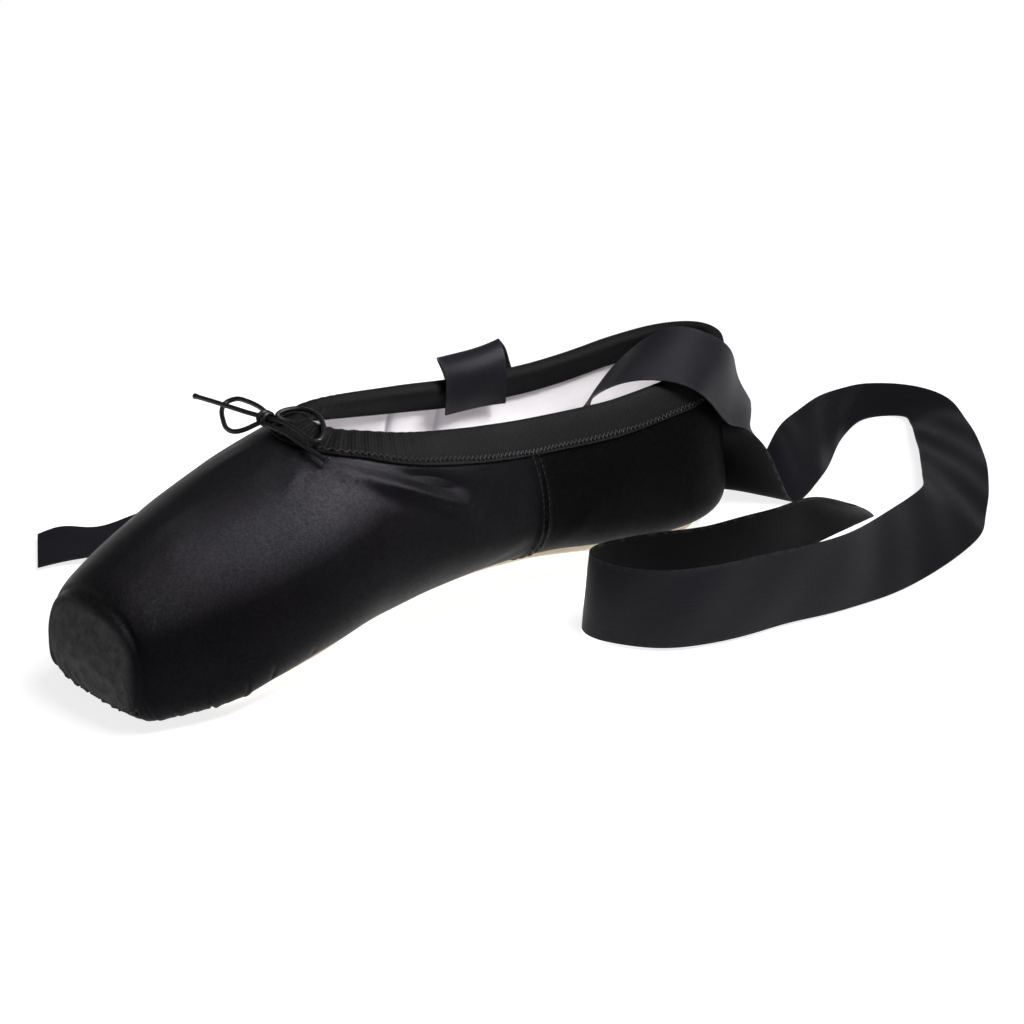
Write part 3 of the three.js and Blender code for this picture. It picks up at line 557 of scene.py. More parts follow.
class Finish:
    """A procedural material, built node by node."""

    def __init__(self, name, roughness=0.5, specular=0.5, sheen=0.0, sheen_roughness=0.5):
        self.material = bpy.data.materials.new(name)
        self.material.use_nodes = True
        self.tree = self.material.node_tree
        self.shader = self.tree.nodes["Principled BSDF"]
        self.shader.inputs["Roughness"].default_value = roughness
        self.shader.inputs["Specular IOR Level"].default_value = specular
        self.shader.inputs["Sheen Weight"].default_value = sheen
        self.shader.inputs["Sheen Roughness"].default_value = sheen_roughness

    def node(self, kind, sockets, **settings):
        """A node with its settings, and its sockets given values or links."""
        made = self.tree.nodes.new(kind)
        for key, value in settings.items():
            setattr(made, key, value)
        for key, value in sockets.items():
            self.give(made.inputs[key], value)
        return made

    def give(self, socket, value):
        if isinstance(value, bpy.types.NodeSocket):
            self.tree.links.new(value, socket)
        elif value is not None:
            socket.default_value = value

    def feed(self, socket, value):
        self.give(self.shader.inputs[socket], value)

    def place(self, kind="UV", scale=(1, 1, 1), turn=0.0):
        """Texture places: UV in metres, or the object's own metres."""
        source = self.node("ShaderNodeTexCoord", {}).outputs[kind]
        sockets = {"Vector": source, "Scale": scale, "Rotation": (0, 0, turn)}
        return self.node("ShaderNodeMapping", sockets).outputs["Vector"]

    def noise(self, scale, detail, rough, kind="Object", stretch=(1, 1, 1)):
        place = self.place(kind, stretch)
        sockets = {"Vector": place, "Scale": scale, "Detail": detail, "Roughness": rough}
        return self.node("ShaderNodeTexNoise", sockets).outputs["Fac"]

    def wave(self, pitch, direction="X", turn=0.0):
        sockets = {"Vector": self.place(turn=turn), "Scale": BAND_SCALE / pitch}
        return self.node("ShaderNodeTexWave", sockets, bands_direction=direction).outputs["Fac"]

    def math(self, operation, a, b):
        return self.node("ShaderNodeMath", {0: a, 1: b}, operation=operation).outputs[0]

    def ramp(self, factor, dark, pale, start=0.3, stop=0.7):
        made = self.node("ShaderNodeValToRGB", {"Fac": factor})
        elements = made.color_ramp.elements
        for element, at, color in zip(elements, (start, stop), (dark, pale)):
            element.position = at
            element.color = (*color, 1)
        return made.outputs["Color"]

    def spread(self, factor, low, high, start=0.0, stop=1.0):
        sockets = {
            "Value": factor, "From Min": start, "From Max": stop, "To Min": low, "To Max": high}
        return self.node("ShaderNodeMapRange", sockets).outputs["Result"]

    def mix(self, factor, a, b):
        a, b = ((*color, 1) if isinstance(color, tuple) else color for color in (a, b))
        sockets = {"Factor": factor, 6: a, 7: b}
        return self.node("ShaderNodeMix", sockets, data_type="RGBA").outputs[2]

    def tone(self, channel="Red"):
        source = self.node("ShaderNodeVertexColor", {}, layer_name="tone").outputs["Color"]
        return self.node("ShaderNodeSeparateColor", {"Color": source}).outputs[channel]

    def facing_up(self):
        source = self.node("ShaderNodeTexCoord", {}).outputs["Normal"]
        return self.node("ShaderNodeSeparateXYZ", {0: source}).outputs["Z"]

    def bump(self, height, distance, strength, below=None):
        sockets = {
            "Height": height, "Distance": distance, "Strength": strength, "Normal": below}
        return self.node("ShaderNodeBump", sockets).outputs["Normal"]


def thread_bump(finish, pitch, distance, below=None):
    """A close weave: threads both ways, in the UV's metres."""
    warp = finish.wave(pitch, "X")
    weft = finish.wave(pitch, "Y")
    return finish.bump(finish.math("MULTIPLY", warp, weft), distance, 0.6, below)


def satin_finish():
    f = Finish("black_satin")
    mottled = f.noise(70, 5, 0.65)
    fine = f.noise(1500, 4, 0.75, "UV", (1, 2.2, 1))
    speckled = f.noise(1100, 3, 0.8)
    hue = f.noise(38, 2, 0.5)
    warm = f.ramp(mottled, (0.0020, 0.0017, 0.0020), (0.0038, 0.0032, 0.0038))
    cool = f.ramp(mottled, (0.0018, 0.0018, 0.0023), (0.0032, 0.0033, 0.0042))
    front = f.mix(hue, warm, cool)
    # The rear quarters are darker: partly for their thread's other direction, partly as painted
    # shade.
    quarter_weave_and_shade = f.mix(f.tone(), front, (0.0014, 0.0013, 0.0014))
    worn = f.ramp(
        f.noise(300, 5, 0.75), (0.030, 0.029, 0.030), (0.068, 0.066, 0.068), start=0.32)
    f.feed("Base Color", f.mix(f.tone("Green"), quarter_weave_and_shade, worn))
    uneven = f.math("ADD", fine, f.math("MULTIPLY", mottled, 0.8))
    face_rough = f.math("MULTIPLY", f.tone("Green"), 0.35)
    f.feed("Roughness", f.math("ADD", f.spread(uneven, 0.24, 0.44), face_rough))
    # Specular level painted by direction: high where the satin faces up and low on its sides and
    # underside, a painted reflection of a lit top and shaded sides. It is speckled at random, and
    # halved on the rear quarters as painted shade.
    speckled_upward_sheen = f.math(
        "MULTIPLY", f.spread(f.facing_up(), 0.04, 0.31, 0.4, 0.86),
        f.spread(speckled, 0.55, 1.5, 0.3, 0.7))
    speckled_painted_sheen = f.math("MULTIPLY", speckled_upward_sheen, f.spread(f.tone(), 1, 0.5))
    f.feed("Specular IOR Level", speckled_painted_sheen)
    f.feed("Specular Tint", f.mix(hue, (1.0, 0.86, 0.98), (0.84, 0.88, 1.0)))
    f.feed("Normal", thread_bump(f, 0.00045, 0.00004, f.bump(fine, 0.00022, 0.8)))
    return f.material


def tape_finish():
    f = Finish("ribbed_binding", specular=0.07, sheen=0.02)
    f.shader.inputs["Sheen Tint"].default_value = (0.75, 0.74, 0.78, 1)
    specks = f.noise(1400, 3, 0.7, "UV")
    black = f.ramp(specks, (0.0024, 0.0024, 0.0026), (0.0095, 0.0092, 0.0098), stop=0.75)
    f.feed("Base Color", black)
    f.feed("Roughness", f.spread(specks, 0.5, 0.78))
    f.feed("Normal", thread_bump(f, 0.0005, 0.00008, f.bump(specks, 0.0001, 0.6)))
    return f.material


def lining_finish():
    f = Finish("white_lining", roughness=0.85, specular=0.25, sheen=0.2)
    cloth = f.ramp(f.noise(30, 4, 0.6), (0.86, 0.83, 0.85), (0.93, 0.915, 0.925))
    f.feed("Base Color", f.mix(f.tone(), cloth, (0.52, 0.50, 0.54)))
    f.feed("Normal", thread_bump(f, 0.0006, 0.0001))
    return f.material


def leather_finish():
    f = Finish("sole_suede", specular=0.3, sheen=0.15)
    nap = f.noise(60, 6, 0.65)
    fine = f.noise(900, 4, 0.7)
    pale = f.ramp(nap, (0.60, 0.50, 0.36), (0.78, 0.69, 0.54), start=0.25)
    f.feed("Base Color", f.mix(f.tone(), pale, (0.16, 0.10, 0.065)))
    f.feed("Roughness", f.spread(fine, 0.65, 0.95))
    f.feed("Normal", f.bump(fine, 0.0002, 0.7, f.bump(nap, 0.0004, 0.5)))
    return f.material


def ribbon_finish():
    f = Finish("satin_ribbon", sheen=0.02, sheen_roughness=0.4)
    f.shader.inputs["Sheen Tint"].default_value = (0.8, 0.8, 0.86, 1)
    f.shader.inputs["Anisotropic"].default_value = 0.4
    streak = f.noise(500, 3, 0.6, "UV", (0.2, 6, 1))
    base = f.ramp(streak, (0.0058, 0.0055, 0.0073), (0.0098, 0.0094, 0.0122))
    bright = f.mix(f.tone(), base, (0.014, 0.014, 0.016))
    # The dull face (tone Green): a darker colour as painted shade, and a lower specular for its
    # duller weave.
    f.feed("Base Color", f.mix(f.tone("Green"), bright, (0.0025, 0.0025, 0.003)))
    f.feed("Specular IOR Level", f.spread(f.tone("Green"), 0.11, 0.03))
    f.feed("Roughness", f.spread(streak, 0.36, 0.5))
    ribs = f.wave(0.0005)
    f.feed("Normal", f.bump(ribs, 0.00005, 0.6, f.bump(streak, 0.00006, 0.5)))
    return f.material


def cord_finish():
    f = Finish("drawstring_cord", roughness=0.4, specular=0.3)
    fine = f.noise(1500, 3, 0.6, "UV")
    f.feed("Base Color", f.ramp(fine, (0.004, 0.004, 0.0043), (0.011, 0.0107, 0.0115)))
    f.feed("Normal", f.bump(f.wave(0.0006, turn=0.9), 0.00006, 0.7))
    return f.material


def thread_finish(name, low, high):
    f = Finish(name, roughness=0.5, specular=0.2)
    f.feed("Base Color", f.ramp(f.noise(3000, 2, 0.6), (low,) * 3, (high,) * 3))
    return f.material


# Upper: satin skin with pleats and creases, white lining inside
# Pleats round the toe: angle at the top, height of the top, angle at the bottom, depth
PLEATS = [
    (-86, 13, -90, 0.35), (-66, 14, -72, 0.45), (-52, 12, -58, 0.30), (-41, 16, -46, 0.45),
    (-33, 19, -37, 0.50), (-26, 22, -31, 0.60), (-18, 19, -24, 0.50), (-11, 20, -17, 0.60),
    (-5, 16, -9, 0.45), (0, 18, 3, 0.50), (4.5, 19, 13, 0.60), (10, 18, 20, 0.65),
    (16, 14, 22.5, 0.40), (21.5, 21, 26.5, 0.65), (27, 23, 32, 0.70), (35, 15, 39, 0.45),
    (44, 12, 49, 0.40), (53, 10, 58, 0.35), (61.7, 15.5, 69, 0.60), (74, 9, 77, 0.30),
    (85, 14.5, 89, 0.60),
]
PLEAT_WIDTH = 0.5
PLEAT_STRENGTH = 1.8
PLEAT_GROWTH = 11
# The platform: half its width, the height of its middle, and its reach above and below that
PLATFORM_HALF = 21.5
PLATFORM_MIDDLE = 18
PLATFORM_REACH = 16.5
PLATFORM_POWER = 2.6
# The satin's and the lining's inner depth, and the seams inside each quarter
SATIN_DEPTH = 0.9
LINING_START = 1.05
LINING_SEAMS = (12.5, 30.7)
# Ribs round the toe's fan, on to the throat and along the collar, and rows up each rib
SATIN_RIBS = (190, 24, 170)
SATIN_ROWS = 88
LINING_RIBS = (60, 12, 110)
LINING_ROWS = 36
# Creases: points along each, its width and its rise in millimetres
CREASES = [
    ([(14, -44, 63.6), (22, -39, 60.9), (26.4, -31, 56.4), (29.1, -22, 52.2), (30.6, -12, 47.3),
      (31.1, 0, 41.2)], 2.4, 2.3),
    ([(21, -31, 60.9), (26.3, -22, 57.0), (28.9, -11, 52.8), (30.0, 0, 48.0)], 2.3, -1.6),
    ([(26, -38, 55.4), (30, -28, 52.4), (32, -16, 47.6), (32.2, -4, 42.0)], 3.5, -0.2),
    ([(-22, -36, 61.0), (-27.4, -25, 57.0), (-30.0, -8, 50.0), (-30.4, 2, 45.0)], 2.2, 0.9),
    ([(-26, -36, 56.0), (-30.0, -22, 52.0), (-31.6, -2, 43.0)], 2.6, -0.7),
    ([(33.8, -76.3, 15.5), (31.4, -74.3, 9.0)], 0.8, -0.8),
    ([(-33.5, -79, 15.0), (-31.0, -76.5, 9.0)], 0.8, -0.6),
    ([(34.6, -62, 17.0), (31.5, -60.5, 11.5)], 0.9, -0.5),
    ([(24, 6, 18.0), (27, 30, 24.0)], 3.2, -0.45),
    ([(23, 34, 18.5), (26, 54, 27.0)], 3.0, 0.4),
    ([(2, -47, 66.5), (7, -54, 64.5), (10, -62, 61.0)], 2.2, -0.5),
    ([(-9, -49, 66.0), (-12, -66, 59.5)], 2.4, 0.4),
    ([(12, -48, 64.0), (17, -58, 58.5)], 2.0, 0.45),
    ([(-18, -47, 62.5), (-24, -62, 54.0)], 2.2, -0.4),
]


def along_path(p, points):
    """Distance to a path of straight steps, and the share of the path that is nearest."""
    points = np.array(points, float)
    walked = length_of(points)
    nearest = np.full(p.shape[:-1], np.inf)
    share = np.zeros(p.shape[:-1])
    for start, end, low, high in zip(points[:-1], points[1:], walked[:-1], walked[1:]):
        way = end - start
        part = np.clip(((p - start) @ way) / (way @ way), 0, 1)
        distance = np.linalg.norm(p - (start + part[..., None] * way), axis=-1)
        closer = distance < nearest
        nearest = np.where(closer, distance, nearest)
        share = np.where(closer, (low + part * (high - low)) / walked[-1], share)
    return nearest, share


def pleat_relief(p):
    x, y, z = p[..., 0], p[..., 1], p[..., 2]
    reach = np.hypot(x, y - FAN_Y)
    angle = np.degrees(np.arctan2(x, FAN_Y - y))
    total = np.zeros(x.shape)
    for top, height, bottom, depth in PLEATS:
        fall = np.clip((height - z) / (height - 3), 0, 1)
        aside = np.radians(angle - (top + (bottom - top) * fall)) * reach
        grown = smooth(height - z, 0, PLEAT_GROWTH) * (0.35 + 0.65 * smooth(z, 1, 7))
        side = np.sign(top) or 1
        groove = -bell(aside, PLEAT_WIDTH) + 0.55 * bell(aside - side * 1.5 * PLEAT_WIDTH, 1.4)
        total += PLEAT_STRENGTH * depth * grown * groove
    return total * smooth(reach, 8, 20) * (y < SIDE_START_Y + 12)


def seam_line(z):
    """The side seam bows back a little at mid height."""
    return SIDE_SEAM_Y + 2.4 * np.sin(np.clip((z - 14) / 38, 0, 1) * np.pi) - 1.6


def seam_relief(p):
    y, z = p[..., 1], p[..., 2]
    aside = np.abs(y - seam_line(z))
    band = 1 - smooth(aside, SEAM_WIDTH / 2 - 0.3, SEAM_WIDTH / 2 + 0.5)
    groove = bell(aside, 0.5)
    stitched = bell(aside - (SEAM_WIDTH / 2 - 0.6), 0.35)
    return SEAM_RISE * band - 0.3 * groove - 0.18 * stitched


def heel_seam_relief(p):
    x, y = p[..., 0], p[..., 1]
    behind = smooth(y, HEEL_BLEND_Y, HEEL_BLEND_Y + 10)
    return behind * (0.35 * (1 - smooth(np.abs(x), 1.6, 2.4)) - 0.3 * bell(x, 0.45))


def unevenness(p):
    x, y, z = p[..., 0], p[..., 1], p[..., 2]
    slow = np.sin(x / 11 + y / 23 + 0.7) * np.sin(y / 17 - z / 13 + 1.9)
    quick = np.sin(x / 5.3 - y / 8.1 + z / 6.7) * np.sin(y / 6.1 + z / 9.3 + 0.4)
    return 0.16 * slow + 0.05 * quick


def platform(p):
    """How far a point lies from the middle of the toe's platform: 1 on its edge."""
    aside = np.abs(p[..., 0]) / PLATFORM_HALF
    above = (p[..., 2] - PLATFORM_MIDDLE) / PLATFORM_REACH
    ring = (aside ** PLATFORM_POWER + np.abs(above) ** PLATFORM_POWER) ** (1 / PLATFORM_POWER)
    return ring + 2 * smooth(p[..., 1], TOE_Y + 5, TOE_Y + 13)


def platform_relief(p):
    """The flat face of the toe, its firm edge and the slight hollow behind that."""
    ring = platform(p)
    return 0.5 * bell(ring - 0.98, 0.1) - 0.35 * bell(ring - 1.22, 0.13)


def relief(p):
    total = pleat_relief(p) + seam_relief(p) + heel_seam_relief(p) + unevenness(p)
    total += platform_relief(p)
    for points, width, rise in CREASES:
        distance, share = along_path(p, points)
        total += rise * bell(distance, width) * np.sin(np.pi * (0.05 + 0.9 * share))
    return total


def wall(ribs, outer, inner):
    """The strips that close two faces of the upper along the sole and along the collar."""
    low = np.stack([outer[:, 0], inner[:, 0]], 1)
    high = np.stack([outer[:, -1], inner[:, -1]], 1)
    ahead = ribs[0] + ribs[1]
    return low, high[ahead:len(high) - ahead]


def lining_seams(p):
    """The two stitched seams inside each quarter, which a band of cloth joins."""
    return sum(bell(p[..., 1] - y, 0.8) for y in LINING_SEAMS)


def lining_relief(p):
    y = p[..., 1]
    band = smooth(y, 12, 14) * (1 - smooth(y, 29, 31))
    return 0.35 * band - 0.9 * lining_seams(p)


def make_skin(material):
    """The satin with its relief, and its tones: the rear quarters, darker partly for their thread
    and partly as painted shade, and the toe's worn face.
    """
    outer = whole_ring(rib_grid(*upper_ribs(*SATIN_RIBS), SATIN_ROWS))
    normals = normal_at(outer)
    share = np.linspace(0, 1, outer.shape[1])
    under_tape = smooth(collar_height(outer[..., 1]) - outer[..., 2], 2, TAPE_DEPTH + 3)
    held = np.where(outer[..., 1] > THROAT_Y - TAPE_DEPTH, under_tape, 1)
    skin = outer + normals * (relief(outer) * held * smooth(share, 0, 0.06))[..., None]
    back = outer[:, ::4] - SATIN_DEPTH * normals[:, ::4]
    # The rear quarters behind the side seam get a darker colour and halved specular: partly the
    # thread's other direction, partly painted shade.
    rear = smooth(outer[..., 1], SIDE_SEAM_Y - 0.4, SIDE_SEAM_Y + 0.4)
    face = 1 - smooth(platform(outer), 0.86, 1.02)
    tones = np.stack([rear, face, np.zeros_like(rear)], -1)
    piece = mesh_object(
        "upper_satin", [skin, back, *wall(SATIN_RIBS, skin, back)], material, [tones])
    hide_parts("upper")


def make_lining(material):
    face = whole_ring(rib_grid(*upper_ribs(*LINING_RIBS), LINING_ROWS))
    normals = normal_at(face)
    outside = face - LINING_START * normals
    inside = face - normals * (WALL + lining_relief(face))[..., None]
    piece = mesh_object(
        "upper_lining", [outside, inside, *wall(LINING_RIBS, outside, inside)],
        material, [np.zeros(face.shape[:2]), lining_seams(face)])
    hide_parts("upper")


# Binding
GATHER_REACH = 26
GATHER_PITCH = 3.4
RIB_PITCH = 0.9
INNER_LEG = 0.84
ZIGZAG_PITCH = 1.6
ZIGZAG_POINTS = 2200
RIM_POINTS = 890
LEG_ROWS = 8
HIDDEN_GAP = 0.12


def down_from(rim, along):
    """Points down the upper's face from the rim, square to it."""
    p = rim
    points = [p]
    for _ in range(LEG_ROWS):
        down = unit(np.cross(along, normal_at(p)))
        p = p + down * (TAPE_DEPTH / LEG_ROWS)
        for _ in range(3):
            value = last(p)
            slope = np.stack([(last(p + d) - value) / PROBE for d in np.eye(3) * PROBE], -1)
            p = p - slope * (value / (slope ** 2).sum(-1))[..., None]
        points.append(p)
    return np.array(points)


def collar_frame():
    """The collar's rim, its directions outward and up, and the face below it with its normals."""
    rim = collar_rim(*collar_ribs(RIM_POINTS))
    rim[[0, -1], 0] = 0
    rim = np.concatenate([rim, rim[1:-1][::-1] * (-1, 1, 1)])
    along = unit(np.roll(rim, -1, 0) - np.roll(rim, 1, 0))
    out = normal_at(rim)
    legs = down_from(rim, along)
    return rim, out, unit(np.cross(out, along)), legs, normal_at(legs)


def make_binding(collar, material):
    """The ribbed tape over the rim: down outside, over the top and down inside."""
    rim, out, up, legs, faces = collar
    walked = length_of(np.vstack([rim, rim[:1]]))[:-1]
    ribs = 0.1 * np.cos(2 * np.pi * walked / RIB_PITCH)
    knot_side = np.minimum(walked, walked[-1] - walked)
    gather = bell(knot_side, GATHER_REACH)
    pucker = gather * np.sin(2 * np.pi * walked / GATHER_PITCH + 1.3 * np.sin(walked / 5.0))
    wave = 0.12 * np.sin(walked / 7.3) + 0.08 * np.sin(walked / 3.1 + 1)
    thick = TAPE_CLEARANCE + TAPE_THICKNESS - 0.25
    outer, inner = [], []
    for k in reversed(range(LEG_ROWS + 1)):
        share = k / LEG_ROWS
        bulge = 0.3 * bell(share - 0.25, 0.22)
        pinch = -0.28 * bell(share - 0.86, 0.06)
        height = thick + bulge + pinch + ribs + 0.35 * pucker * (1 - 0.5 * share) + 0.3 * wave
        outer.append(legs[k] + faces[k] * height[:, None])
        depth = -WALL - thick - bulge - pinch - ribs - 0.3 * pucker
        spot = legs[0] + (legs[k] - legs[0]) * INNER_LEG
        inner.append(spot + faces[k] * depth[:, None])
    lift = thick + 0.4 * pucker + 0.3 * wave
    middle = -WALL / 2
    half = WALL / 2 + thick + 0.1
    top = []
    for angle in np.radians([150, 120, 90, 60, 30]):
        across = middle - half * np.cos(angle) * 0.96
        high = (lift + 0.25) * np.sin(angle) ** 0.8
        top.append(rim + out * (across + ribs)[:, None] + up * (high + ribs * 0.5)[:, None])
    rows = (0, LEG_ROWS // 2, LEG_ROWS)
    hidden_out = [legs[k] + faces[k] * HIDDEN_GAP for k in rows]
    hidden_in = [
        legs[0] + (legs[k] - legs[0]) * INNER_LEG - faces[k] * (WALL + HIDDEN_GAP)
        for k in rows]
    section = [*outer, *top, *inner[::-1], *hidden_in[::-1], *hidden_out, outer[0]]
    ring = np.stack(section, 1)
    ring = np.concatenate([ring, ring[:1]])
    piece = mesh_object("binding_tape", [ring], material)
    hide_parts("binding")


# Stitches: thread laid as short arcs or as a zigzag
STITCH_RADIUS = 0.17
STITCH_LENGTH = 1.2
STITCH_HEIGHTS = np.arange(11, 50, 2.0)
STITCH_ROW = 1.25
STITCH_LIFT = 0.16
STITCH_SINK = 0.06


def make_zigzag(collar, material):
    """The zigzag seam near the binding's lower edge, outside."""
    rim, _, _, legs, faces = collar
    walked = length_of(np.vstack([rim, rim[:1]]))
    at = np.linspace(0, walked[-1], ZIGZAG_POINTS)
    phase = at / ZIGZAG_PITCH
    swing = 2 * np.abs(2 * (phase - np.floor(phase + 0.5))) - 1
    depth = 8.55 + 0.6 * swing + 0.15 * np.sin(at / 9.0) + 0.1 * np.sin(at / 3.7)
    level = depth / TAPE_DEPTH * LEG_ROWS
    k = level.astype(int)
    part = (level - k)[:, None]
    closed = [np.concatenate([field, field[:, :1]], 1) for field in (legs, faces)]
    j = np.interp(at, walked, np.arange(len(walked)))
    i = np.minimum(j.astype(int), len(walked) - 2)
    share = (j - i)[:, None]

    def taken(field, row):
        return field[row, i] * (1 - share) + field[row, i + 1] * share

    place = taken(closed[0], k) * (1 - part) + taken(closed[0], k + 1) * part
    normal = unit(taken(closed[1], k) * (1 - part) + taken(closed[1], k + 1) * part)
    raised = TAPE_CLEARANCE + TAPE_THICKNESS + 0.02 + 0.1 * np.abs(swing)
    thread = tube_rings(place + normal * raised[:, None], STITCH_RADIUS, 6)
    mesh_object("binding_stitches", [thread], material)


def stitch(side, aside, z):
    """One stitch beside a side seam: an arc of thread that dips into the cloth at both ends."""
    heights = np.array([z, z + STITCH_LENGTH])
    inside = np.stack([np.zeros(2), seam_line(heights) + aside, heights], 1)
    found = meet(inside, np.array([side, 0, 0], float))
    normals = normal_at(found)
    start, end = found + normals * seam_relief(found)[:, None]
    t = np.linspace(0, 1, 7)[:, None]
    height = STITCH_LIFT * (np.sin(np.pi * t) ** 0.6) - STITCH_SINK
    return start + (end - start) * t + (normals[0] * (1 - t) + normals[1] * t) * height


def make_seam_stitches(material):
    """Two rows of stitches down either side seam."""
    grids = []
    for side in (1, -1):
        for aside in (-STITCH_ROW, STITCH_ROW):
            for z in STITCH_HEIGHTS:
                grids.append(tube_rings(stitch(side, aside, z), STITCH_RADIUS, 5))
    mesh_object("side_seam_stitches", grids, material)


# Sole and insole, with stations along each and points across
SOLE_TIP_ROUND = 15
SOLE_STATIONS = 240
SOLE_ACROSS = 41
INSOLE_STATIONS = 120
INSOLE_ACROSS = 25


def sole_half_at(y, inset):
    """Half the width of the sole, less an inset, round at its two tips."""
    end = np.minimum(y - SOLE_FRONT, SOLE_BACK - y) - inset
    short = np.clip(1 - end / SOLE_TIP_ROUND, 0, 1)
    return np.maximum((sole_outline(sole_share(y)) - inset) * np.sqrt(1 - short ** 2), 0.4)


def under_at(x, y):
    """The height of the last's underside."""
    start = np.stack([x, y, widest_height(share_at(y))], -1)
    down = np.broadcast_to(np.array([0, 0, -1.0]), start.shape)
    return meet(start, down)[..., 2]


def sole_grid(stations, inset, across):
    """Places over the sole, closer together towards its tips."""
    t = np.linspace(0, 1, stations)
    eased = 0.5 - 0.5 * np.cos(np.pi * np.clip(t, 0.004, 0.996))
    y = SOLE_FRONT + inset + (SOLE_BACK - SOLE_FRONT - 2 * inset) * (0.55 * eased + 0.45 * t)
    y = np.clip(y, SOLE_FRONT + inset + 0.05, SOLE_BACK - inset - 0.05)
    half = sole_half_at(y, inset)
    return half[:, None] * across, np.repeat(y[:, None], len(across), 1)


def closed_slab(name, top, under, material, tones=()):
    """A solid from a top and a bottom grid that share their outline."""
    sides = [np.stack([top[:, k], under[:, k]], 1) for k in (0, -1)]
    ends = [np.stack([top[k], under[k]], 1) for k in (0, -1)]
    return mesh_object(name, [top, under, *sides, *ends], material, tones)


def make_sole(material):
    across = np.sin(np.linspace(-1, 1, SOLE_ACROSS) * QUARTER_TURN)
    x, y = sole_grid(SOLE_STATIONS, 0, across)
    top = under_at(x, y) - CLEARANCE * 0.5
    edge = np.clip((1 - np.abs(across)) / 0.12, 0, 1)
    round_off = 0.85 * (1 - np.sqrt(1 - (1 - edge) ** 2))
    low = np.maximum(top - SOLE_THICKNESS, 0)
    under = np.minimum(low + round_off * np.where(low > 0.01, 1, 0.45), top - 0.5)
    channel = bell(np.abs(across) - 0.82, 0.03)
    under = np.where(low > 0.01, under + 0.3 * channel, under)
    front = 1 - smooth(y, SOLE_FRONT + 3, SOLE_FRONT + 16)
    worn = np.clip(front * 0.8 + 0.4 * (1 - edge) * front, 0, 1)
    piece = closed_slab(
        "sole_leather", np.stack([x, y, top], -1), np.stack([x, y, under], -1),
        material, [worn * 0.6, worn])
    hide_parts("outsole")


def make_insole(material):
    across = np.sin(np.linspace(-1, 1, INSOLE_ACROSS) * QUARTER_TURN)
    x, y = sole_grid(INSOLE_STATIONS, INSOLE_MARGIN, across)
    seat = under_at(x, y).max(axis=1, keepdims=True) + WALL + 1.5 * CLEARANCE
    seat = np.repeat(seat, len(across), 1)
    edge = np.clip((1 - np.abs(across)) / 0.15, 0, 1)
    crown = INSOLE_THICKNESS * (0.35 + 0.65 * np.sqrt(edge))
    piece = closed_slab(
        "insole_board", np.stack([x, y, seat + crown], -1), np.stack([x, y, seat], -1),
        material)
    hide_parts("insole")


# Ribbons: rungs across the ribbon along its way, each the place of one edge and of the other
NEAR_RIBBON = [
    (19.6, 37, 44, 20.3, 61, 39), (17.6, 47, 51, 5, 66, 41),
    (15.5, 57, 58, 0, 70, 47), (15.8, 66.3, 59.5, -1, 83, 57.5),
    (18.9, 76, 60.4, 2, 92, 64.8), (23.9, 85, 58.6, 7.5, 99, 69),
    (27.1, 93, 54, 13.2, 108.2, 66.2), (26, 102, 46, 14.6, 118, 58.6),
    (24.5, 108.5, 39, 10.3, 124, 46), (22.3, 119, 33.3, 6, 138, 29),
    (21.3, 126.5, 25.8, -2.7, 127, 28),
    (20.2, 132, 18.5, -3.7, 130.5, 18), (19.1, 142.2, 1, -0.2, 128.1, 1),
    (19.5, 145, 1, -3.8, 149.5, 5), (14, 158, 1, -6, 159, 14),
    (4, 175, 1, -16, 180, 13), (-5, 187, 1, -24, 198, 11),
    (-12, 199, 1, -29, 215, 8), (-16, 209, 1, -31, 228, 6),
    (-16, 218, 1, -26, 240, 4), (-9, 222, 2, -12, 246, 2),
    (3, 214, 5, 7, 236, 1), (15, 203, 7, 30, 221, 1),
    (32, 188, 9, 50, 202, 1), (46, 174, 11, 65, 185, 1),
    (58, 163, 14, 76, 171, 1), (66, 148, 16, 82, 155, 1),
    (74, 130, 19, 87, 137, 1), (82, 112, 22, 90, 119, 1),
    (87, 95, 24, 89, 99, 1), (85, 80, 25, 86, 80, 1),
    (82, 65, 25, 84, 64, 1), (79, 52, 25, 81, 49, 1),
    (74, 41, 25, 75, 37, 1), (66, 33, 25, 66, 29, 1),
    (55, 28, 25, 55, 24, 1), (47, 29, 25, 46, 27, 1),
    (44, 36, 25, 43, 35, 1), (47, 50, 25, 45, 50, 1),
    (55, 68, 25, 52, 68, 1), (61.5, 92, 27, 57, 98, 4),
    (64.8, 109, 27, 58, 123, 9), (73, 116, 25, 62.8, 135, 13),
]
FAR_RIBBON = [
    (-19.4, 29, 48.6, -19.4, 53.5, 46.6), (-16.6, 27, 55, -16.8, 52, 53),
    (-16.2, 27, 63, -16.6, 51, 62), (-21.5, 29, 65.6, -21.5, 52.5, 66.6),
    (-28, 34, 62.5, -27, 57, 64), (-33, 40, 55, -31, 64, 58.5),
    (-37, 46, 43, -34, 69.5, 47), (-42, 56, 26, -39, 80, 30),
    (-48, 56, 11, -46, 80, 13), (-57, 51, 2, -58, 75, 4),
    (-67, 41, 1, -75, 63, 5), (-76, 27, 1, -91, 45, 7),
    (-81, 7, 1, -100, 20, 6), (-82, -16, 1, -104, -8, 3),
    (-83, -37, 1.5, -106, -29, 2), (-84.6, -55.4, 3, -106.3, -45.4, 1),
    (-91, -65, 1, -111.6, -53, 3), (-92.6, -74, 1, -112.6, -61, 2),
]
RIBBON_THICKNESS = 0.35
RIBBON_STEP = 1.3
RIBBON_SMOOTHING = 4.0
RIBBON_COLUMNS = 18
FLOOR_GAP = 0.1


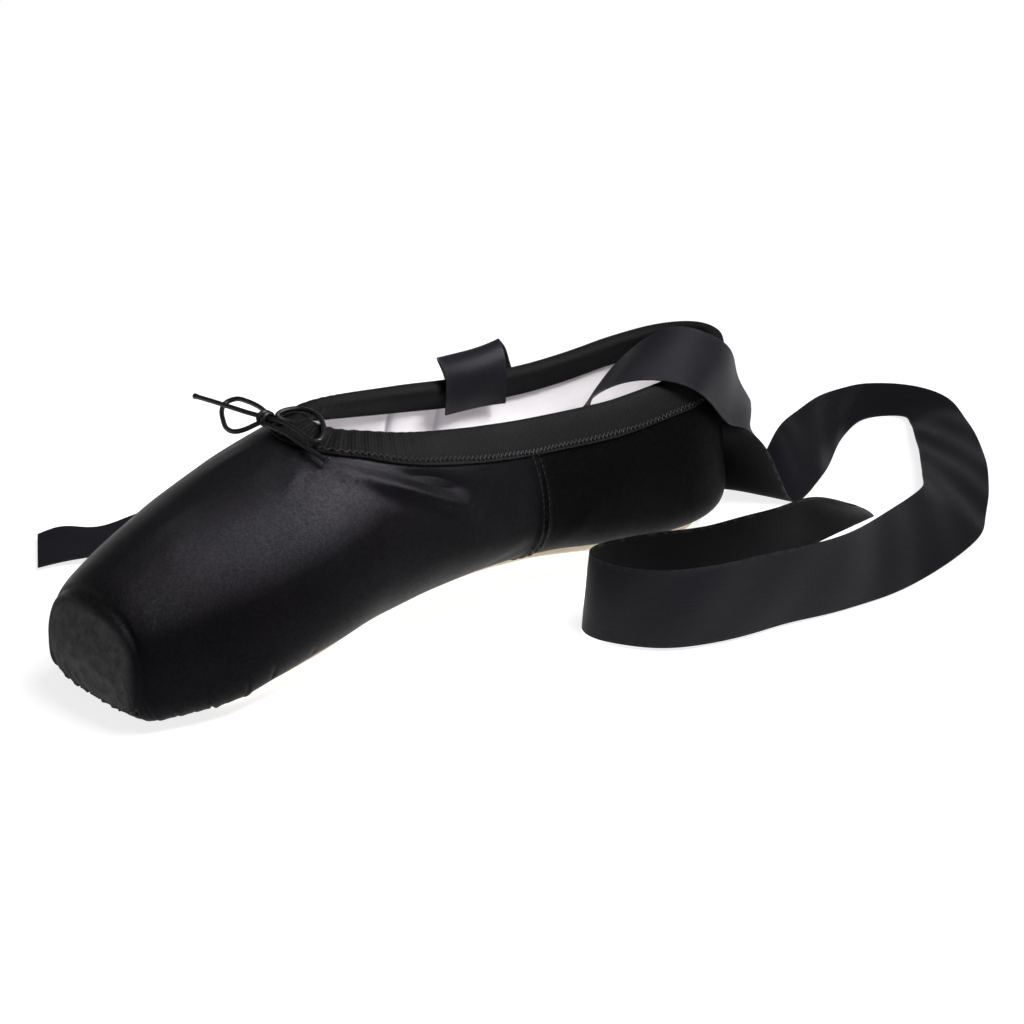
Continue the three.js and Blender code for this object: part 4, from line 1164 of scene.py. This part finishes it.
def smoothed(line, step, width):
    """A line averaged over a width, with its ends kept."""
    reach = int(3 * width / step)
    weights = bell(np.arange(-reach, reach + 1) * step, width * 1.4)
    weights /= weights.sum()
    padded = np.concatenate([
        2 * line[0] - line[reach:0:-1], line, 2 * line[-1] - line[-2:-reach - 2:-1]])
    return np.stack([np.convolve(padded[:, k], weights, "valid") for k in range(3)], 1)


def ribbon_grid(rungs):
    """The middle layer of a ribbon: its points, their normals, places across and its length."""
    t = np.linspace(0, 1, 40 * len(rungs))
    one, other = (catmull_rom(edge, t) for edge in np.split(np.array(rungs), 2, axis=1))
    middle = (one + other) / 2
    along = length_of(middle)
    wanted = np.linspace(0, along[-1], int(along[-1] / RIBBON_STEP))
    across = unit(taken_at(wanted, along, other - one))
    across = unit(smoothed(across, RIBBON_STEP, RIBBON_SMOOTHING))
    middle = smoothed(taken_at(wanted, along, middle), RIBBON_STEP, RIBBON_SMOOTHING)
    heading = unit(np.gradient(middle, axis=0))
    normal = unit(np.cross(across, heading))
    share = np.linspace(-0.5, 0.5, RIBBON_COLUMNS + 1)
    walked = length_of(middle)[:, None]
    ripple = 0.25 * np.sin(walked / 9 + 2 * share) + 0.18 * np.sin(walked / 4.3 - 5 * share)
    cup = 0.5 * (share[None] * 2) ** 2
    sheet = (middle[:, None] + across[:, None] * (share * RIBBON_WIDTH)[None, :, None]
             + normal[:, None] * (ripple + cup)[..., None])
    return sheet, normal, share, walked[-1, 0]


def make_ribbon(name, rungs, node, material, dull_shaded_front):
    """A ribbon that lies along its rungs, with one bright face and one dull face, whose darker
    colour is painted shade.
    """
    sheet, normal, share, length = ribbon_grid(rungs)
    selvage = 0.12 * bell(np.abs(share) - 0.48, 0.02)
    half = (RIBBON_THICKNESS / 2 + selvage)[None, :, None] * normal[:, None]
    front, rear = sheet + half, sheet - half
    for face in (front, rear):
        face[..., 2] = np.maximum(face[..., 2], FLOOR_GAP)
    lying = normal[:, None, 2] > 0.3
    front[..., 2] = np.maximum(front[..., 2], FLOOR_GAP + 0.2 * lying)
    tones = np.zeros((2, *sheet.shape[:2], 3))
    tones[..., 0] = bell(np.abs(share) - 0.5, 0.035)
    # The dull face: its darker colour is painted shade, and its lower specular stands for the
    # duller weave.
    tones[0 if dull_shaded_front else 1, ..., 1] = 1
    piece = closed_slab(name, front, rear, material, list(tones))
    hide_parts(node)


# Floor and light
FLOOR_HALF = 3.0


def make_stage():
    mesh = bpy.data.meshes.new("floor")
    around = ((-1, -1), (1, -1), (1, 1), (-1, 1))
    corners = [(FLOOR_HALF * x, FLOOR_HALF * y, 0) for x, y in around]
    mesh.from_pydata(corners, [], [(0, 1, 2, 3)])
    floor = bpy.data.objects.new("floor", mesh)
    bpy.context.scene.collection.objects.link(floor)
    f = Finish("pale_floor", roughness=0.9, specular=0.1)
    f.feed("Base Color", f.ramp(f.noise(40, 3, 0.5), (0.46,) * 3, (0.48,) * 3))
    f.shader.inputs["Emission Color"].default_value = (1, 1, 1, 1)
    f.shader.inputs["Emission Strength"].default_value = 0.82
    mesh.materials.append(f.material)


def add_light(name, place, aim, size, power, spread=180):
    data = bpy.data.lights.new(name, "AREA")
    data.shape = "RECTANGLE"
    data.size, data.size_y = size
    data.energy = power
    data.spread = np.radians(spread)
    back = unit(np.array(place, float) - aim)
    right = unit(np.cross((0, 0, 1), back))
    add_aimed(name, data, right, np.cross(back, right), back, place)


def make_lights():
    world = bpy.data.worlds.new("studio")
    bpy.context.scene.world = world
    world.use_nodes = True
    background = world.node_tree.nodes["Background"]
    background.inputs["Color"].default_value = (1, 1, 1, 1)
    background.inputs["Strength"].default_value = 0.06
    add_light("key", (0.52, 0.19, 1.18), (0, 0, 0), (0.75, 0.75), 14)
    add_light("collar", (0.24, 0.15, 0.36), (-0.015, 0.02, 0.045), (0.1, 0.1), 0.19, spread=46)
    bpy.context.scene.view_settings.view_transform = "Standard"


make_camera()
cord_material = cord_finish()
make_cord(
    "drawstring_near", NEAR_CORD, ["drawstring_loop_near", "drawstring_end_near"], cord_material)
make_cord(
    "drawstring_far", FAR_CORD, ["drawstring_loop_far", "drawstring_end_far"], cord_material)
make_knot(cord_material)

lining_material = lining_finish()
make_skin(satin_finish())
make_lining(lining_material)
collar = collar_frame()
make_binding(collar, tape_finish())
make_zigzag(collar, thread_finish("binding_thread", 0.008, 0.024))
make_seam_stitches(thread_finish("seam_thread", 0.004, 0.012))
make_sole(leather_finish())
make_insole(lining_material)
ribbon_material = ribbon_finish()
make_ribbon(
    "ribbon_near_side", NEAR_RIBBON, "ribbon_near",
    ribbon_material, dull_shaded_front=True)
make_ribbon(
    "ribbon_far_side", FAR_RIBBON, "ribbon_far",
    ribbon_material, dull_shaded_front=False)
make_stage()
make_lights()
